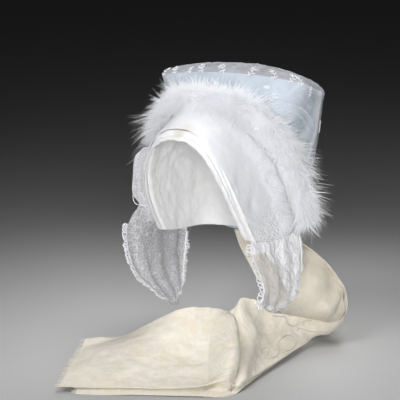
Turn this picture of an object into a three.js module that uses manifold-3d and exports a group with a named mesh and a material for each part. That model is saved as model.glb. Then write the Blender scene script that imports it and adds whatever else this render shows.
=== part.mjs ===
import * as THREE from 'three';
import Module from 'manifold-3d';

// Tall folk bonnet of white linen, blue silk and net, with a fur band, two lappets and a wide silk ribbon.
// Millimetres, +Z up. The wearer faces -Y and the wearer's left is +X.
// The origin is the top of the wearer's head, where the linen under-cap rests.

// Head opening
const HEAD_WIDTH = 153;
const HEAD_DEPTH = 194;
const HOOD_HEIGHT = 180;

// Cloth walls
const CAP_WALL = 1.4;
const PANEL_WALL = 1.4;
const FORM_WALL = 2;
const NET_WALL = 1.2;
const LAPPET_WALL = 1.2;
const TRIM_WALL = 1.6;
const RIBBON_WALL = 1.2;
const SEAM_GAP = 0.5;

// Under-cap and front panel
const CAP_FOLD_HEIGHT = 1.6;
const CAP_FOLD_REACH = 26;

// Crown
const CROWN_WIDTH = 254;
const CROWN_DEPTH = 110;
const CROWN_HEIGHT = 50;
const CROWN_LEAN = 32;
const CROWN_BACK_DROP = 37;
const RIM_ARCH = 9;
const NET_DOME = 22;
const NET_FOLD = 1.6;
const NET_FOLD_COUNT = 12;

// Fur band
const FUR_RADIUS = 29;
const LOCK_LENGTH = 17;
const LOCK_WIDTH = 24;
const LOCK_THICK = 14;
const LOCK_STATIONS = 13;
const LOCKS_AROUND = 3;

// Lappets and their looped edging
const LAPPET_LENGTH = 98;
const LAPPET_FOLD = 5;
const LAPPET_STAND = 3.5;
const TRIM_WIDTH = 7;
const TRIM_LOOP = 7;
const TRIM_DEPTH = 2;
const TRIM_GAP = 0.8;
const FRILL_WIDTH = 14;
const FRILL_WAVE = 2.5;
const FRILL_WAVES = 5;

// Ribbon tails, stacked, which trail on the surface that the hat is shown on
const RIBBON_WIDTH = 160;
const RIBBON_REACH = 300;
const REST_DROP = 336;
const RIBBON_LAYER_GAP = 2.6;
const RIBBON_SLIP = 5;

// Hoops of the under-cap from the face to the nape, each an arch over the head.
// Places along Y are shares of HEAD_DEPTH, heights of HOOD_HEIGHT, halves of half HEAD_WIDTH.
const CAP_HOOPS = [
  { topY: -0.309, topZ: -0.115, lowY: 0.02, lowZ: -0.925, half: 1, bow: -0.075 },
  { topY: -0.18, topZ: -0.03, lowY: 0.14, lowZ: -0.955, half: 1.028, bow: -0.06 },
  { topY: 0, topZ: 0.004, lowY: 0.29, lowZ: -0.975, half: 1.035, bow: -0.045 },
  { topY: 0.2, topZ: -0.03, lowY: 0.44, lowZ: -0.98, half: 1.04, bow: -0.03 },
  { topY: 0.39, topZ: -0.16, lowY: 0.56, lowZ: -0.985, half: 1.02, bow: 0 },
  { topY: 0.54, topZ: -0.39, lowY: 0.65, lowZ: -0.99, half: 0.93, bow: 0.02 },
  { topY: 0.65, topZ: -0.67, lowY: 0.705, lowZ: -0.995, half: 0.7, bow: 0.01 },
  { topY: 0.715, topZ: -0.9, lowY: 0.73, lowZ: -0.995, half: 0.3, bow: 0 },
];

// Hoops of the front panel, which is joined behind its last hoop to the crown's base ring.
const PANEL_HOOPS = [
  { topY: -0.268, topZ: -0.03, lowY: 0.03, lowZ: -0.925, half: 1.045, bow: -0.075 },
  { topY: -0.16, topZ: 0.045, lowY: 0.17, lowZ: -0.955, half: 1.09, bow: -0.062 },
  { topY: -0.03, topZ: 0.09, lowY: 0.36, lowZ: -0.97, half: 1.125, bow: -0.05 },
  { topY: 0.1, topZ: 0.1, lowY: 0.55, lowZ: -0.955, half: 1.14, bow: -0.03 },
];
const HOOP_SQUARENESS = 2.35;

// The crown's base ring, tilted from above the forehead to the nape, in shares of the head sizes.
const BASE_RING = { frontY: 0.227, frontZ: 0.078, rearY: 0.763, rearZ: -1.028, half: 1.17 };
// Rings from the base to the rim: shares of the way for each column, where along its depth the ring
// is widest, and how square it is.
const CROWN_RINGS = [
  { front: 0, back: 0, climb: 0, spread: 0, widest: 0.5, squareFront: 2.5, squareRear: 4 },
  { front: 0.36, back: 0.86, climb: 0.36, spread: 0.42, widest: 0.42, squareFront: 4.2, squareRear: 2.8 },
  { front: 0.7, back: 1.1, climb: 0.69, spread: 0.74, widest: 0.34, squareFront: 6, squareRear: 2.5 },
  { front: 1, back: 1, climb: 1, spread: 1, widest: 0.28, squareFront: 8, squareRear: 2.4 },
];
const BASE_ARC_END = 128;

// Sections of the fur band from the top of the head to its lower ends.
// 'along' is the share of the way, 'forward' and 'out' are shares of FUR_RADIUS off the base ring.
const FUR_SECTIONS = [
  { along: 0, forward: -0.86, up: 0.42, out: 0, radius: 0.96 },
  { along: 0.3, forward: -0.66, up: 0.42, out: 0.2, radius: 0.98 },
  { along: 0.55, forward: -0.3, up: 0.15, out: 0.42, radius: 1.08 },
  { along: 0.8, forward: -0.12, up: 0, out: 0.42, radius: 1.08 },
  { along: 1, forward: 0, up: 0, out: 0.4, radius: 0.8 },
];

// Rows of each lappet from its seam to its hem: places along Y in shares of HEAD_DEPTH,
// drops in shares of LAPPET_LENGTH, and how far each edge stands out, in shares of LAPPET_LENGTH.
const LEFT_LAPPET_ROWS = [
  { frontY: 0.02, rearY: 0.66, frontDrop: 0.0, rearDrop: 0.0, frontOut: 0, rearOut: 0, fold: 0.1 },
  { frontY: 0.0, rearY: 0.68, frontDrop: 0.2, rearDrop: 0.26, frontOut: 0.0, rearOut: 0.0, fold: 0.6 },
  { frontY: 0.07, rearY: 0.69, frontDrop: 0.5, rearDrop: 0.52, frontOut: 0.06, rearOut: 0.0, fold: 1 },
  { frontY: 0.15, rearY: 0.68, frontDrop: 0.76, rearDrop: 0.77, frontOut: 0.15, rearOut: 0.0, fold: 1 },
  { frontY: 0.11, rearY: 0.64, frontDrop: 1.0, rearDrop: 0.98, frontOut: 0.06, rearOut: 0.0, fold: 0.8 },
];
const RIGHT_LAPPET_ROWS = [
  { frontY: -0.1, rearY: 0.5, frontDrop: -0.33, rearDrop: 0.0, frontOut: 0.0, rearOut: 0, fold: 0.1 },
  { frontY: -0.24, rearY: 0.49, frontDrop: -0.08, rearDrop: 0.25, frontOut: 0.06, rearOut: 0.0, fold: 0.7 },
  { frontY: -0.19, rearY: 0.48, frontDrop: 0.46, rearDrop: 0.5, frontOut: 0.04, rearOut: 0.0, fold: 1 },
  { frontY: -0.09, rearY: 0.46, frontDrop: 0.82, rearDrop: 0.76, frontOut: -0.06, rearOut: 0.0, fold: 1 },
  { frontY: 0.07, rearY: 0.42, frontDrop: 1.12, rearDrop: 1.0, frontOut: -0.24, rearOut: -0.05, fold: 0.8 },
];
const LEFT_LAPPET = { rows: LEFT_LAPPET_ROWS, side: 1, seamFront: 0.02, seamRear: 0.97 };
const RIGHT_LAPPET = { rows: RIGHT_LAPPET_ROWS, side: -1, seamFront: -0.2, seamRear: 0.72 };
const LAPPET_FOLD_COUNT = 3.5;
const HEM_SAG = 0.12;
const FRILL_TOP = -0.56;
const FRILL_LOW = -0.205;

// Sections of the ribbon from the nape seam to its free end. 'x' and 'y' of the low edge are shares of
// RIBBON_REACH, 'above' is its height over the resting surface as a share of the fall from the nape,
// and across gives the way to the other edge in shares of RIBBON_WIDTH. 'bulge' crowns the middle.
const RIBBON_SECTIONS = [
  { x: -0.117, y: 0.515, above: 1.0, acrossX: 0.47, acrossY: 0, acrossZ: 0, bulge: 0 },
  { x: -0.1, y: 0.56, above: 0.8, acrossX: 0.6, acrossY: -0.02, acrossZ: 0.06, bulge: 0.06 },
  { x: -0.05, y: 0.62, above: 0.52, acrossX: 0.74, acrossY: -0.05, acrossZ: 0.13, bulge: 0.1 },
  { x: 0.03, y: 0.655, above: 0.22, acrossX: 0.8, acrossY: -0.12, acrossZ: 0.2, bulge: 0.12 },
  { x: 0.15, y: 0.64, above: 0.03, acrossX: 0.68, acrossY: -0.18, acrossZ: 0.26, bulge: 0.12 },
  { x: 0.28, y: 0.56, above: 0.01, acrossX: 0.5, acrossY: -0.18, acrossZ: 0.19, bulge: 0.1 },
  { x: 0.38, y: 0.45, above: 0.01, acrossX: 0.26, acrossY: -0.12, acrossZ: 0.17, bulge: 0.05 },
  { x: 0.43, y: 0.3, above: 0.01, acrossX: 0.05, acrossY: 0.0, acrossZ: 0.22, bulge: -0.05 },
  { x: 0.46, y: 0.137, above: 0.01, acrossX: -0.05, acrossY: 0.16, acrossZ: 0.27, bulge: -0.1 },
  { x: 0.507, y: -0.163, above: 0.01, acrossX: -0.28, acrossY: 0.44, acrossZ: 0.35, bulge: -0.12 },
  { x: 0.545, y: -0.4, above: 0.01, acrossX: -0.5, acrossY: 0.62, acrossZ: 0.41, bulge: -0.06 },
  { x: 0.555, y: -0.55, above: 0.01, acrossX: -0.55, acrossY: 0.76, acrossZ: 0.44, bulge: 0.08 },
  { x: 0.45, y: -0.64, above: 0.01, acrossX: -0.48, acrossY: 0.82, acrossZ: 0.5, bulge: -0.08 },
  { x: 0.257, y: -0.757, above: 0.01, acrossX: -0.31, acrossY: 0.82, acrossZ: 0.5, bulge: -0.08 },
  { x: 0.067, y: -0.873, above: 0.01, acrossX: -0.36, acrossY: 0.85, acrossZ: 0.27, bulge: 0.03 },
  { x: -0.087, y: -0.963, above: 0.01, acrossX: -0.41, acrossY: 0.86, acrossZ: 0.13, bulge: 0.02 },
];
const LOWER_TAIL_END = 0.965;

// How finely each form is divided
const CAP_ROWS = 13;
const CAP_SIDES = 21;
const FACE_CROWDING = 1.35;
const PANEL_ROWS = 8;
const PANEL_SIDES = 21;
const CROWN_ROWS = 6;
const CROWN_SIDES = 40;
const DOME_ROWS = 3;
const DOME_SHOULDER = 0.8;
const RIM_ROLL = 1.5;
const FUR_ROWS = 39;
const FUR_SIDES = 12;
const TUFT_DEPTH = 0.3;
const LOCK_ROOT = 0.5;
const LOCK_SPAN = 0.97;
const LOCK_FAN = 3.4;
const LOCK_CORNERS = [0.25, 0.75, 1.25, 1.75].map((share) => share * Math.PI);
const LOCK_LEAN = 0.8;
const RIBBON_ROWS = 31;
const RIBBON_COLUMNS = 7;
const SIDE_REACH = 1.14;
const FRILL_ROWS = 21;
const LAPPET_ROWS = 9;
const LAPPET_COLUMNS = 15;
const TRIM_FIRST_ROW = 1;

const wasm = await Module();
wasm.setup();

// A column of a table, read smoothly between its rows at t from 0 to 1
function column(rows, name, t) {
  const last = rows.length - 1;
  const place = THREE.MathUtils.clamp(t, 0, 1) * last;
  const i = Math.min(Math.floor(place), last - 1);
  const f = place - i;
  const value = (k) => rows[THREE.MathUtils.clamp(k, 0, last)][name];
  return cubic(value(i - 1), value(i), value(i + 1), value(i + 2), f);
}

function cubic(a, b, c, d, f) {
  return 0.5 * (2 * b + (c - a) * f + (2 * a - 5 * b + 4 * c - d) * f * f + (3 * b - a - 3 * c + d) * f ** 3);
}

// The place in 'rows' where the column 'along' reaches a share
function placeOf(rows, share) {
  const last = rows.length - 1;
  const i = Math.min(rows.findIndex((row, k) => k === last || rows[k + 1].along >= share), last - 1);
  const span = rows[i + 1].along - rows[i].along;
  return (i + (share - rows[i].along) / span) / last;
}

function signedPower(value, power) {
  return Math.sign(value) * Math.abs(value) ** power;
}

function smooth(from, to, value) {
  return THREE.MathUtils.smoothstep(value, from, to);
}

// A grid of points from two counts and a function of two shares
function gridOf(rows, columns, closed, point) {
  const steps = closed ? columns : columns - 1;
  return Array.from({ length: rows }, (_, r) =>
    Array.from({ length: columns }, (_, c) => point(r / (rows - 1), c / steps)));
}

// Normals of a grid, from the neighbours of each point
function gridNormals(grid, closed) {
  const rows = grid.length;
  const columns = grid[0].length;
  return grid.map((line, r) => line.map((_, c) => {
    const before = closed ? (c + columns - 1) % columns : Math.max(c - 1, 0);
    const after = closed ? (c + 1) % columns : Math.min(c + 1, columns - 1);
    const across = grid[r][after].clone().sub(grid[r][before]);
    const down = grid[Math.min(r + 1, rows - 1)][c].clone().sub(grid[Math.max(r - 1, 0)][c]);
    return across.cross(down).normalize();
  }));
}

// The grid with one more line of points beyond each of its four sides
function widened(grid, distance) {
  const beyond = (p, inner) => p.clone().addScaledVector(p.clone().sub(inner).normalize(), distance);
  const lines = grid.map((line) => [beyond(line[0], line[1]), ...line, beyond(line.at(-1), line.at(-2))]);
  const first = lines[0].map((p, c) => beyond(p, lines[1][c]));
  const last = lines.at(-1).map((p, c) => beyond(p, lines.at(-2)[c]));
  return [first, ...lines, last];
}

function offsetGrid(grid, normals, distance) {
  return grid.map((line, r) => line.map((p, c) => p.clone().addScaledVector(normals[r][c], distance)));
}

function signedVolume(points, faces) {
  return faces.reduce((sum, [i, j, k]) =>
    sum + points[i].dot(points[j].clone().cross(points[k])) / 6, 0);
}

// A closed body from points and triangles, with its faces turned outward
function closedGeometry(points, faces) {
  const outward = signedVolume(points, faces) > 0;
  const turned = faces.map(([i, j, k]) => (outward ? [i, j, k] : [i, k, j]));
  const geometry = new THREE.BufferGeometry();
  geometry.setAttribute('position', new THREE.Float32BufferAttribute(points.flatMap((p) => p.toArray()), 3));
  geometry.setIndex(turned.flat());
  return geometry;
}

// A closed body between two grids of the same size, with its open rims walled
function bodyBetween(outer, inner, closed, pole) {
  const rows = outer.length;
  const columns = outer[0].length;
  const points = [...outer.flat(), ...inner.flat()];
  const side = rows * columns;
  const faces = [];
  const id = (layer, r, c) => layer * side + r * columns + (c % columns);
  const quad = (a, b, c, d) => faces.push([a, b, c], [a, c, d]);
  const steps = closed ? columns : columns - 1;
  for (let r = 0; r < rows - 1; r += 1) {
    for (let c = 0; c < steps; c += 1) {
      quad(id(0, r, c), id(0, r, c + 1), id(0, r + 1, c + 1), id(0, r + 1, c));
      quad(id(1, r, c), id(1, r + 1, c), id(1, r + 1, c + 1), id(1, r, c + 1));
    }
  }
  for (let c = 0; c < steps; c += 1) {
    quad(id(0, 0, c), id(1, 0, c), id(1, 0, c + 1), id(0, 0, c + 1));
    if (!pole) {
      quad(id(0, rows - 1, c), id(0, rows - 1, c + 1), id(1, rows - 1, c + 1), id(1, rows - 1, c));
    }
  }
  if (pole) {
    points.push(pole.outer, pole.inner);
    for (let c = 0; c < steps; c += 1) {
      faces.push([id(0, rows - 1, c), id(0, rows - 1, c + 1), 2 * side]);
      faces.push([id(1, rows - 1, c + 1), id(1, rows - 1, c), 2 * side + 1]);
    }
  }
  if (!closed) {
    for (let r = 0; r < rows - 1; r += 1) {
      quad(id(0, r, 0), id(0, r + 1, 0), id(1, r + 1, 0), id(1, r, 0));
      quad(id(0, r, steps), id(1, r, steps), id(1, r + 1, steps), id(0, r + 1, steps));
    }
  }
  return closedGeometry(points, faces);
}

function clothWall(grid, wall, closed = false, pole = null) {
  const normals = gridNormals(grid, closed);
  return bodyBetween(offsetGrid(grid, normals, wall / 2), offsetGrid(grid, normals, -wall / 2), closed, pole);
}

// Joining and cutting
function toSolid(geometry) {
  return new wasm.Manifold(new wasm.Mesh({
    numProp: 3,
    vertProperties: Float32Array.from(geometry.attributes.position.array),
    triVerts: Uint32Array.from(geometry.index.array),
  }));
}

function toGeometry(solid) {
  const mesh = solid.getMesh();
  const geometry = new THREE.BufferGeometry();
  geometry.setAttribute('position', new THREE.BufferAttribute(mesh.vertProperties, 3));
  geometry.setIndex(new THREE.BufferAttribute(mesh.triVerts, 1));
  return geometry;
}

// Arch of a hoop row: 'turn' runs from -1 at the wearer's right to 1 at the left, 0 at the top
function hoopPoint(rows, t, turn) {
  const angle = turn * Math.PI / 2;
  const height = Math.abs(Math.cos(angle)) ** (2 / HOOP_SQUARENESS);
  const x = column(rows, 'half', t) * HEAD_WIDTH / 2 * signedPower(Math.sin(angle), 2 / HOOP_SQUARENESS);
  const lowY = column(rows, 'lowY', t);
  const lowZ = column(rows, 'lowZ', t);
  const bow = 4 * height * (1 - height) * column(rows, 'bow', t);
  const y = (lowY + (column(rows, 'topY', t) - lowY) * height + bow) * HEAD_DEPTH;
  const z = (lowZ + (column(rows, 'topZ', t) - lowZ) * height) * HOOD_HEIGHT;
  return new THREE.Vector3(x, y, z);
}

// Ring of the crown at t from the base to the rim. 'turn' is 0 in front, 0.5 at the rear.
function ringPoint(t, turn) {
  const angle = turn * 2 * Math.PI;
  const base = {
    frontY: BASE_RING.frontY * HEAD_DEPTH,
    frontZ: BASE_RING.frontZ * HOOD_HEIGHT,
    rearY: BASE_RING.rearY * HEAD_DEPTH,
    rearZ: BASE_RING.rearZ * HOOD_HEIGHT,
    half: BASE_RING.half * HEAD_WIDTH / 2,
  };
  const rimFrontY = base.frontY + CROWN_LEAN;
  const rimFrontZ = base.frontZ + CROWN_HEIGHT;
  const front = column(CROWN_RINGS, 'front', t);
  const frontY = base.frontY + CROWN_LEAN * front;
  const frontZ = base.frontZ + CROWN_HEIGHT * front;
  const rearY = base.rearY + (rimFrontY + CROWN_DEPTH - base.rearY) * column(CROWN_RINGS, 'back', t);
  const rearZ = base.rearZ + (rimFrontZ - CROWN_BACK_DROP - base.rearZ) * column(CROWN_RINGS, 'climb', t);
  const half = base.half + (CROWN_WIDTH / 2 - base.half) * column(CROWN_RINGS, 'spread', t);
  const inFront = Math.cos(angle) > 0;
  const square = column(CROWN_RINGS, inFront ? 'squareFront' : 'squareRear', t);
  const widest = column(CROWN_RINGS, 'widest', t);
  const back = widest - (inFront ? widest : 1 - widest) * signedPower(Math.cos(angle), 2 / square);
  const aside = signedPower(Math.sin(angle), 2 / square);
  return new THREE.Vector3(
    half * aside,
    frontY + (rearY - frontY) * back,
    frontZ + (rearZ - frontZ) * back - RIM_ARCH * front * aside ** 2,
  );
}

// The base ring's stretch from the wearer's right corner, over the top, to the left corner
function baseArc(turn) {
  return ringPoint(0, turn * BASE_ARC_END / 360);
}

// Under-cap: a linen hood with two soft folds behind its face edge
function underCap() {
  const grid = gridOf(CAP_ROWS, CAP_SIDES, false, (t, s) =>
    hoopPoint(CAP_HOOPS, t ** FACE_CROWDING, 2 * s - 1));
  const normals = gridNormals(grid, false);
  const folded = grid.map((line, r) => line.map((p, c) => {
    const reach = p.distanceTo(grid[0][c]) / CAP_FOLD_REACH;
    const fold = reach < 1 ? CAP_FOLD_HEIGHT * Math.sin(reach * Math.PI * 2) * (1 - reach) : 0;
    return p.clone().addScaledVector(normals[r][c], fold);
  }));
  return clothWall(folded, CAP_WALL);
}

// Front panel: an outer cap from above the face edge to the crown's base ring
function panelPoint(t, turn) {
  const last = PANEL_HOOPS.length;
  const place = THREE.MathUtils.clamp(t, 0, 1) * last;
  const i = Math.min(Math.floor(place), last - 1);
  const inset = (PANEL_WALL + FORM_WALL) / 2 + SEAM_GAP;
  const station = (k) => {
    if (k < last) {
      return hoopPoint(PANEL_HOOPS, Math.max(k, 0) / (last - 1), turn);
    }
    const ring = baseArc(turn);
    const centre = ringPoint(0, 0).add(ringPoint(0, 0.5)).multiplyScalar(0.5);
    return ring.sub(centre).multiplyScalar(1 - inset / ring.length()).add(centre);
  };
  const [a, b, c, d] = [i - 1, i, i + 1, i + 2].map(station);
  const f = place - i;
  return new THREE.Vector3(
    cubic(a.x, b.x, c.x, d.x, f),
    cubic(a.y, b.y, c.y, d.y, f),
    cubic(a.z, b.z, c.z, d.z, f),
  );
}

function panelGrid() {
  return gridOf(PANEL_ROWS, PANEL_SIDES, false, (t, s) => panelPoint(t, 2 * s - 1));
}

// Crown form: stiff silk-covered drum, open above and below
function crownForm() {
  return clothWall(gridOf(CROWN_ROWS, CROWN_SIDES, true, ringPoint), FORM_WALL, true);
}

// Crown net: folded net over the form, closed above by a low dome
function crownAxis() {
  return new THREE.Vector3(0, CROWN_BACK_DROP, CROWN_DEPTH).normalize();
}

function crownNet() {
  const stand = (FORM_WALL + NET_WALL) / 2 + SEAM_GAP;
  const wall = gridOf(CROWN_ROWS, CROWN_SIDES, true, ringPoint);
  const normals = gridNormals(wall, true);
  const sides = wall.map((line, r) => line.map((p, c) => {
    const turn = c / CROWN_SIDES;
    const side = smooth(0.1, 0.2, Math.min(turn, 1 - turn));
    const wave = 0.5 - 0.5 * Math.cos(turn * 2 * Math.PI * NET_FOLD_COUNT);
    const rise = Math.sin(r / (CROWN_ROWS - 1) * Math.PI / 2);
    return p.clone().addScaledVector(normals[r][c], stand + NET_FOLD * side * wave * rise);
  }));
  const rim = sides[CROWN_ROWS - 1];
  const centre = rim[0].clone().add(rim[CROWN_SIDES / 2]).multiplyScalar(0.5);
  const dome = Array.from({ length: DOME_ROWS }, (_, k) => {
    const angle = (k + 1) / (DOME_ROWS + 1) * Math.PI / 2;
    const lift = RIM_ROLL + NET_DOME * Math.sin(angle);
    return rim.map((p) => p.clone().sub(centre).multiplyScalar(Math.cos(angle) ** DOME_SHOULDER)
      .add(centre).addScaledVector(crownAxis(), lift));
  });
  const top = centre.clone().addScaledVector(crownAxis(), RIM_ROLL + NET_DOME);
  const half = crownAxis().multiplyScalar(NET_WALL / 2);
  const pole = { outer: top.clone().add(half), inner: top.clone().sub(half) };
  return clothWall([...sides, ...dome], NET_WALL, true, pole);
}

// Fur band: locks fused to a soft roll, which nests on the panel and against the crown
function furCentre(share) {
  const place = placeOf(FUR_SECTIONS, Math.abs(share));
  const ring = baseArc(share);
  const forward = column(FUR_SECTIONS, 'forward', place);
  const up = column(FUR_SECTIONS, 'up', place);
  const out = column(FUR_SECTIONS, 'out', place) * Math.sign(share);
  return ring.add(new THREE.Vector3(out, forward, up).multiplyScalar(FUR_RADIUS));
}

function furFrame(share) {
  const step = 0.02;
  const centre = furCentre(share);
  const along = furCentre(Math.min(share + step, 1)).sub(furCentre(Math.max(share - step, -1))).normalize();
  const outward = centre.clone().sub(headCentre()).normalize();
  const side = along.clone().cross(outward).normalize();
  return { centre, along, side, outward: side.clone().cross(along).normalize() };
}

function headCentre() {
  return new THREE.Vector3(0, BASE_RING.frontY * HEAD_DEPTH, -HOOD_HEIGHT / 2);
}

function furSurface(share, angle, scale) {
  const { centre, side, outward } = furFrame(share);
  const place = placeOf(FUR_SECTIONS, Math.abs(share));
  const end = Math.sqrt(Math.max(1 - Math.abs(share) ** 8, 0.08));
  const radius = column(FUR_SECTIONS, 'radius', place) * FUR_RADIUS * end * scale;
  return centre.addScaledVector(side, radius * Math.sin(angle))
    .addScaledVector(outward, radius * Math.cos(angle));
}

// The roll itself: short tufts side by side, every second point of its grid standing out
function furRoll(random) {
  const core = gridOf(FUR_ROWS, FUR_SIDES, true, (t, s) => {
    const tuft = (Math.round(t * (FUR_ROWS - 1)) + Math.round(s * FUR_SIDES)) % 2;
    const reach = 1 - TUFT_DEPTH * (1 - tuft) + TUFT_DEPTH * (random() - 0.5);
    return furSurface(2 * t - 1, s * 2 * Math.PI, reach);
  });
  return filled(core, furCentre(-1), furCentre(1));
}

// A solid from rings of points, with a point that closes each end
function filled(rings, first, last) {
  const sides = rings[0].length;
  const points = [...rings.flat(), first, last];
  const faces = [];
  const id = (r, c) => r * sides + (c % sides);
  const top = rings.length - 1;
  for (let c = 0; c < sides; c += 1) {
    for (let r = 0; r < top; r += 1) {
      faces.push([id(r, c), id(r, c + 1), id(r + 1, c + 1)], [id(r, c), id(r + 1, c + 1), id(r + 1, c)]);
    }
    faces.push([id(0, c + 1), id(0, c), points.length - 2], [id(top, c), id(top, c + 1), points.length - 1]);
  }
  return toSolid(closedGeometry(points, faces));
}

// One lock: a bent, flat tuft with its root inside the roll, which leans along and across the band
function furLock(share, angle, length, lean) {
  const root = furSurface(share, angle, LOCK_ROOT);
  const foot = furSurface(share, angle, 1);
  const { along, side } = furFrame(share);
  const out = foot.clone().sub(root).normalize();
  const across = out.clone().cross(along).normalize();
  const bend = along.clone().multiplyScalar(lean).addScaledVector(side, LOCK_LEAN * Math.sin(angle));
  const sections = [
    { place: 0, width: 0.9, thick: 1.1 },
    { place: 0.4, width: 0.9, thick: 0.7 },
    { place: 0.95, width: 0.16, thick: 0.2 },
  ];
  const rings = sections.map(({ place, width, thick }) => {
    const at = (place ? foot : root).clone().addScaledVector(out, place * length)
      .addScaledVector(bend, place * place * length);
    return LOCK_CORNERS.map((corner) => at.clone()
      .addScaledVector(along, width * LOCK_WIDTH / 2 * Math.cos(corner))
      .addScaledVector(across, thick * LOCK_THICK / 2 * Math.sin(corner)));
  });
  const count = LOCK_CORNERS.length;
  const faces = [];
  for (let r = 0; r < rings.length - 1; r += 1) {
    for (let c = 0; c < count; c += 1) {
      const [low, high, next] = [r * count, (r + 1) * count, (c + 1) % count];
      faces.push([low + c, low + next, high + next], [low + c, high + next, high + c]);
    }
  }
  const top = (rings.length - 1) * count;
  faces.push([1, 0, 2], [2, 0, 3], [top, top + 1, top + 2], [top, top + 2, top + 3]);
  return toSolid(closedGeometry(rings.flat(), faces));
}

function furBand() {
  let seed = 7;
  const random = () => {
    seed = (seed * 16807) % 2147483647;
    return seed / 2147483647;
  };
  let fur = furRoll(random);
  for (let k = 0; k < LOCK_STATIONS; k += 1) {
    for (let j = 0; j < LOCKS_AROUND; j += 1) {
      const share = LOCK_SPAN * (2 * (k + 0.5 * (j % 2)) / (LOCK_STATIONS - 0.5) - 1);
      const angle = LOCK_FAN * (j / (LOCKS_AROUND - 1) - 0.5) + 0.3 * (random() - 0.5);
      fur = fur.add(furLock(share, angle, LOCK_LENGTH * (0.7 + 0.6 * random()), 1.2 * (random() - 0.5)));
    }
  }
  const seated = fur.subtract(panelSpace()).subtract(crownSpace());
  const parts = seated.decompose().sort((a, b) => b.volume() - a.volume());
  return toGeometry(parts[0]);
}

// The space of the panel and the head under it, and that of the crown, each with the seam gap round it
function panelSpace() {
  const grid = widened(panelGrid(), 4 * SEAM_GAP);
  const normals = gridNormals(grid, false);
  const facing = Math.sign(normals[4][PANEL_SIDES >> 1].z);
  const outer = offsetGrid(grid, normals, facing * (PANEL_WALL / 2 + SEAM_GAP));
  const inner = offsetGrid(grid, normals, -facing * 1.5 * FUR_RADIUS);
  return toSolid(bodyBetween(outer, inner, false, null));
}

function crownSpace() {
  const wall = gridOf(CROWN_ROWS, CROWN_SIDES, true, ringPoint);
  const stand = FORM_WALL / 2 + NET_WALL + NET_FOLD + 2 * SEAM_GAP;
  const outer = offsetGrid(wall, gridNormals(wall, true), stand);
  const below = outer[0].map((p, c) =>
    p.clone().addScaledVector(p.clone().sub(outer[1][c]).normalize(), stand));
  const low = below[0].clone().add(below[CROWN_SIDES / 2]).multiplyScalar(0.5);
  const high = ringPoint(1, 0).add(ringPoint(1, 0.5)).multiplyScalar(0.5);
  return filled([below, ...outer], low, high);
}

// Lappets. The seam runs along the panel's low edge, and for q under 0 up its face edge.
function seamPoint(side, q) {
  const t = Math.max(q, 0);
  const turn = side * (1 - Math.max(-q, 0));
  const step = 0.02;
  const p = panelPoint(t, turn);
  const along = panelPoint(Math.min(t + step, 1), turn).sub(panelPoint(Math.max(t - step, 0), turn));
  const down = panelPoint(t, turn).sub(panelPoint(t, turn - side * step));
  const outward = along.cross(down).normalize();
  outward.multiplyScalar(Math.sign(outward.x) * side);
  return p.addScaledVector(outward, (PANEL_WALL + LAPPET_WALL) / 2 + SEAM_GAP);
}

function lappetPoint({ rows, side, seamFront, seamRear }, t, s) {
  const mix = (front, rear) => THREE.MathUtils.lerp(column(rows, front, t), column(rows, rear, t), s);
  const seam = seamPoint(side, THREE.MathUtils.lerp(seamFront, seamRear, s));
  const drop = mix('frontDrop', 'rearDrop') + HEM_SAG * t * Math.sin(Math.PI * s);
  const wave = Math.sin(s * Math.PI * 2 * LAPPET_FOLD_COUNT);
  const hang = new THREE.Vector3(
    side * (SIDE_REACH * HEAD_WIDTH / 2 + LAPPET_STAND + mix('frontOut', 'rearOut') * LAPPET_LENGTH
      + LAPPET_FOLD * column(rows, 'fold', t) * (0.5 + 0.5 * wave)),
    mix('frontY', 'rearY') * HEAD_DEPTH,
    PANEL_HOOPS[0].lowZ * HOOD_HEIGHT - drop * LAPPET_LENGTH,
  );
  return seam.lerp(hang, smooth(0, 0.22, t));
}

function lappetGrid(lappet) {
  return gridOf(LAPPET_ROWS, LAPPET_COLUMNS, false, (t, s) => lappetPoint(lappet, t, s));
}

// Gathered strip up the wearer's right cheek, which ends in the right lappet
function cheekFrill() {
  return clothWall(gridOf(FRILL_ROWS, 3, false, (t, s) => {
    const width = FRILL_WIDTH * (0.35 + 0.65 * Math.sin(Math.PI * t)) * s - LAPPET_WALL / 2;
    const wave = FRILL_WAVE * s * Math.sin(t * 2 * Math.PI * FRILL_WAVES);
    const seam = seamPoint(RIGHT_LAPPET.side, THREE.MathUtils.lerp(FRILL_TOP, FRILL_LOW, t));
    return seam.add(new THREE.Vector3(RIGHT_LAPPET.side * width, wave - 0.3 * width, 0));
  }), LAPPET_WALL);
}

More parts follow.
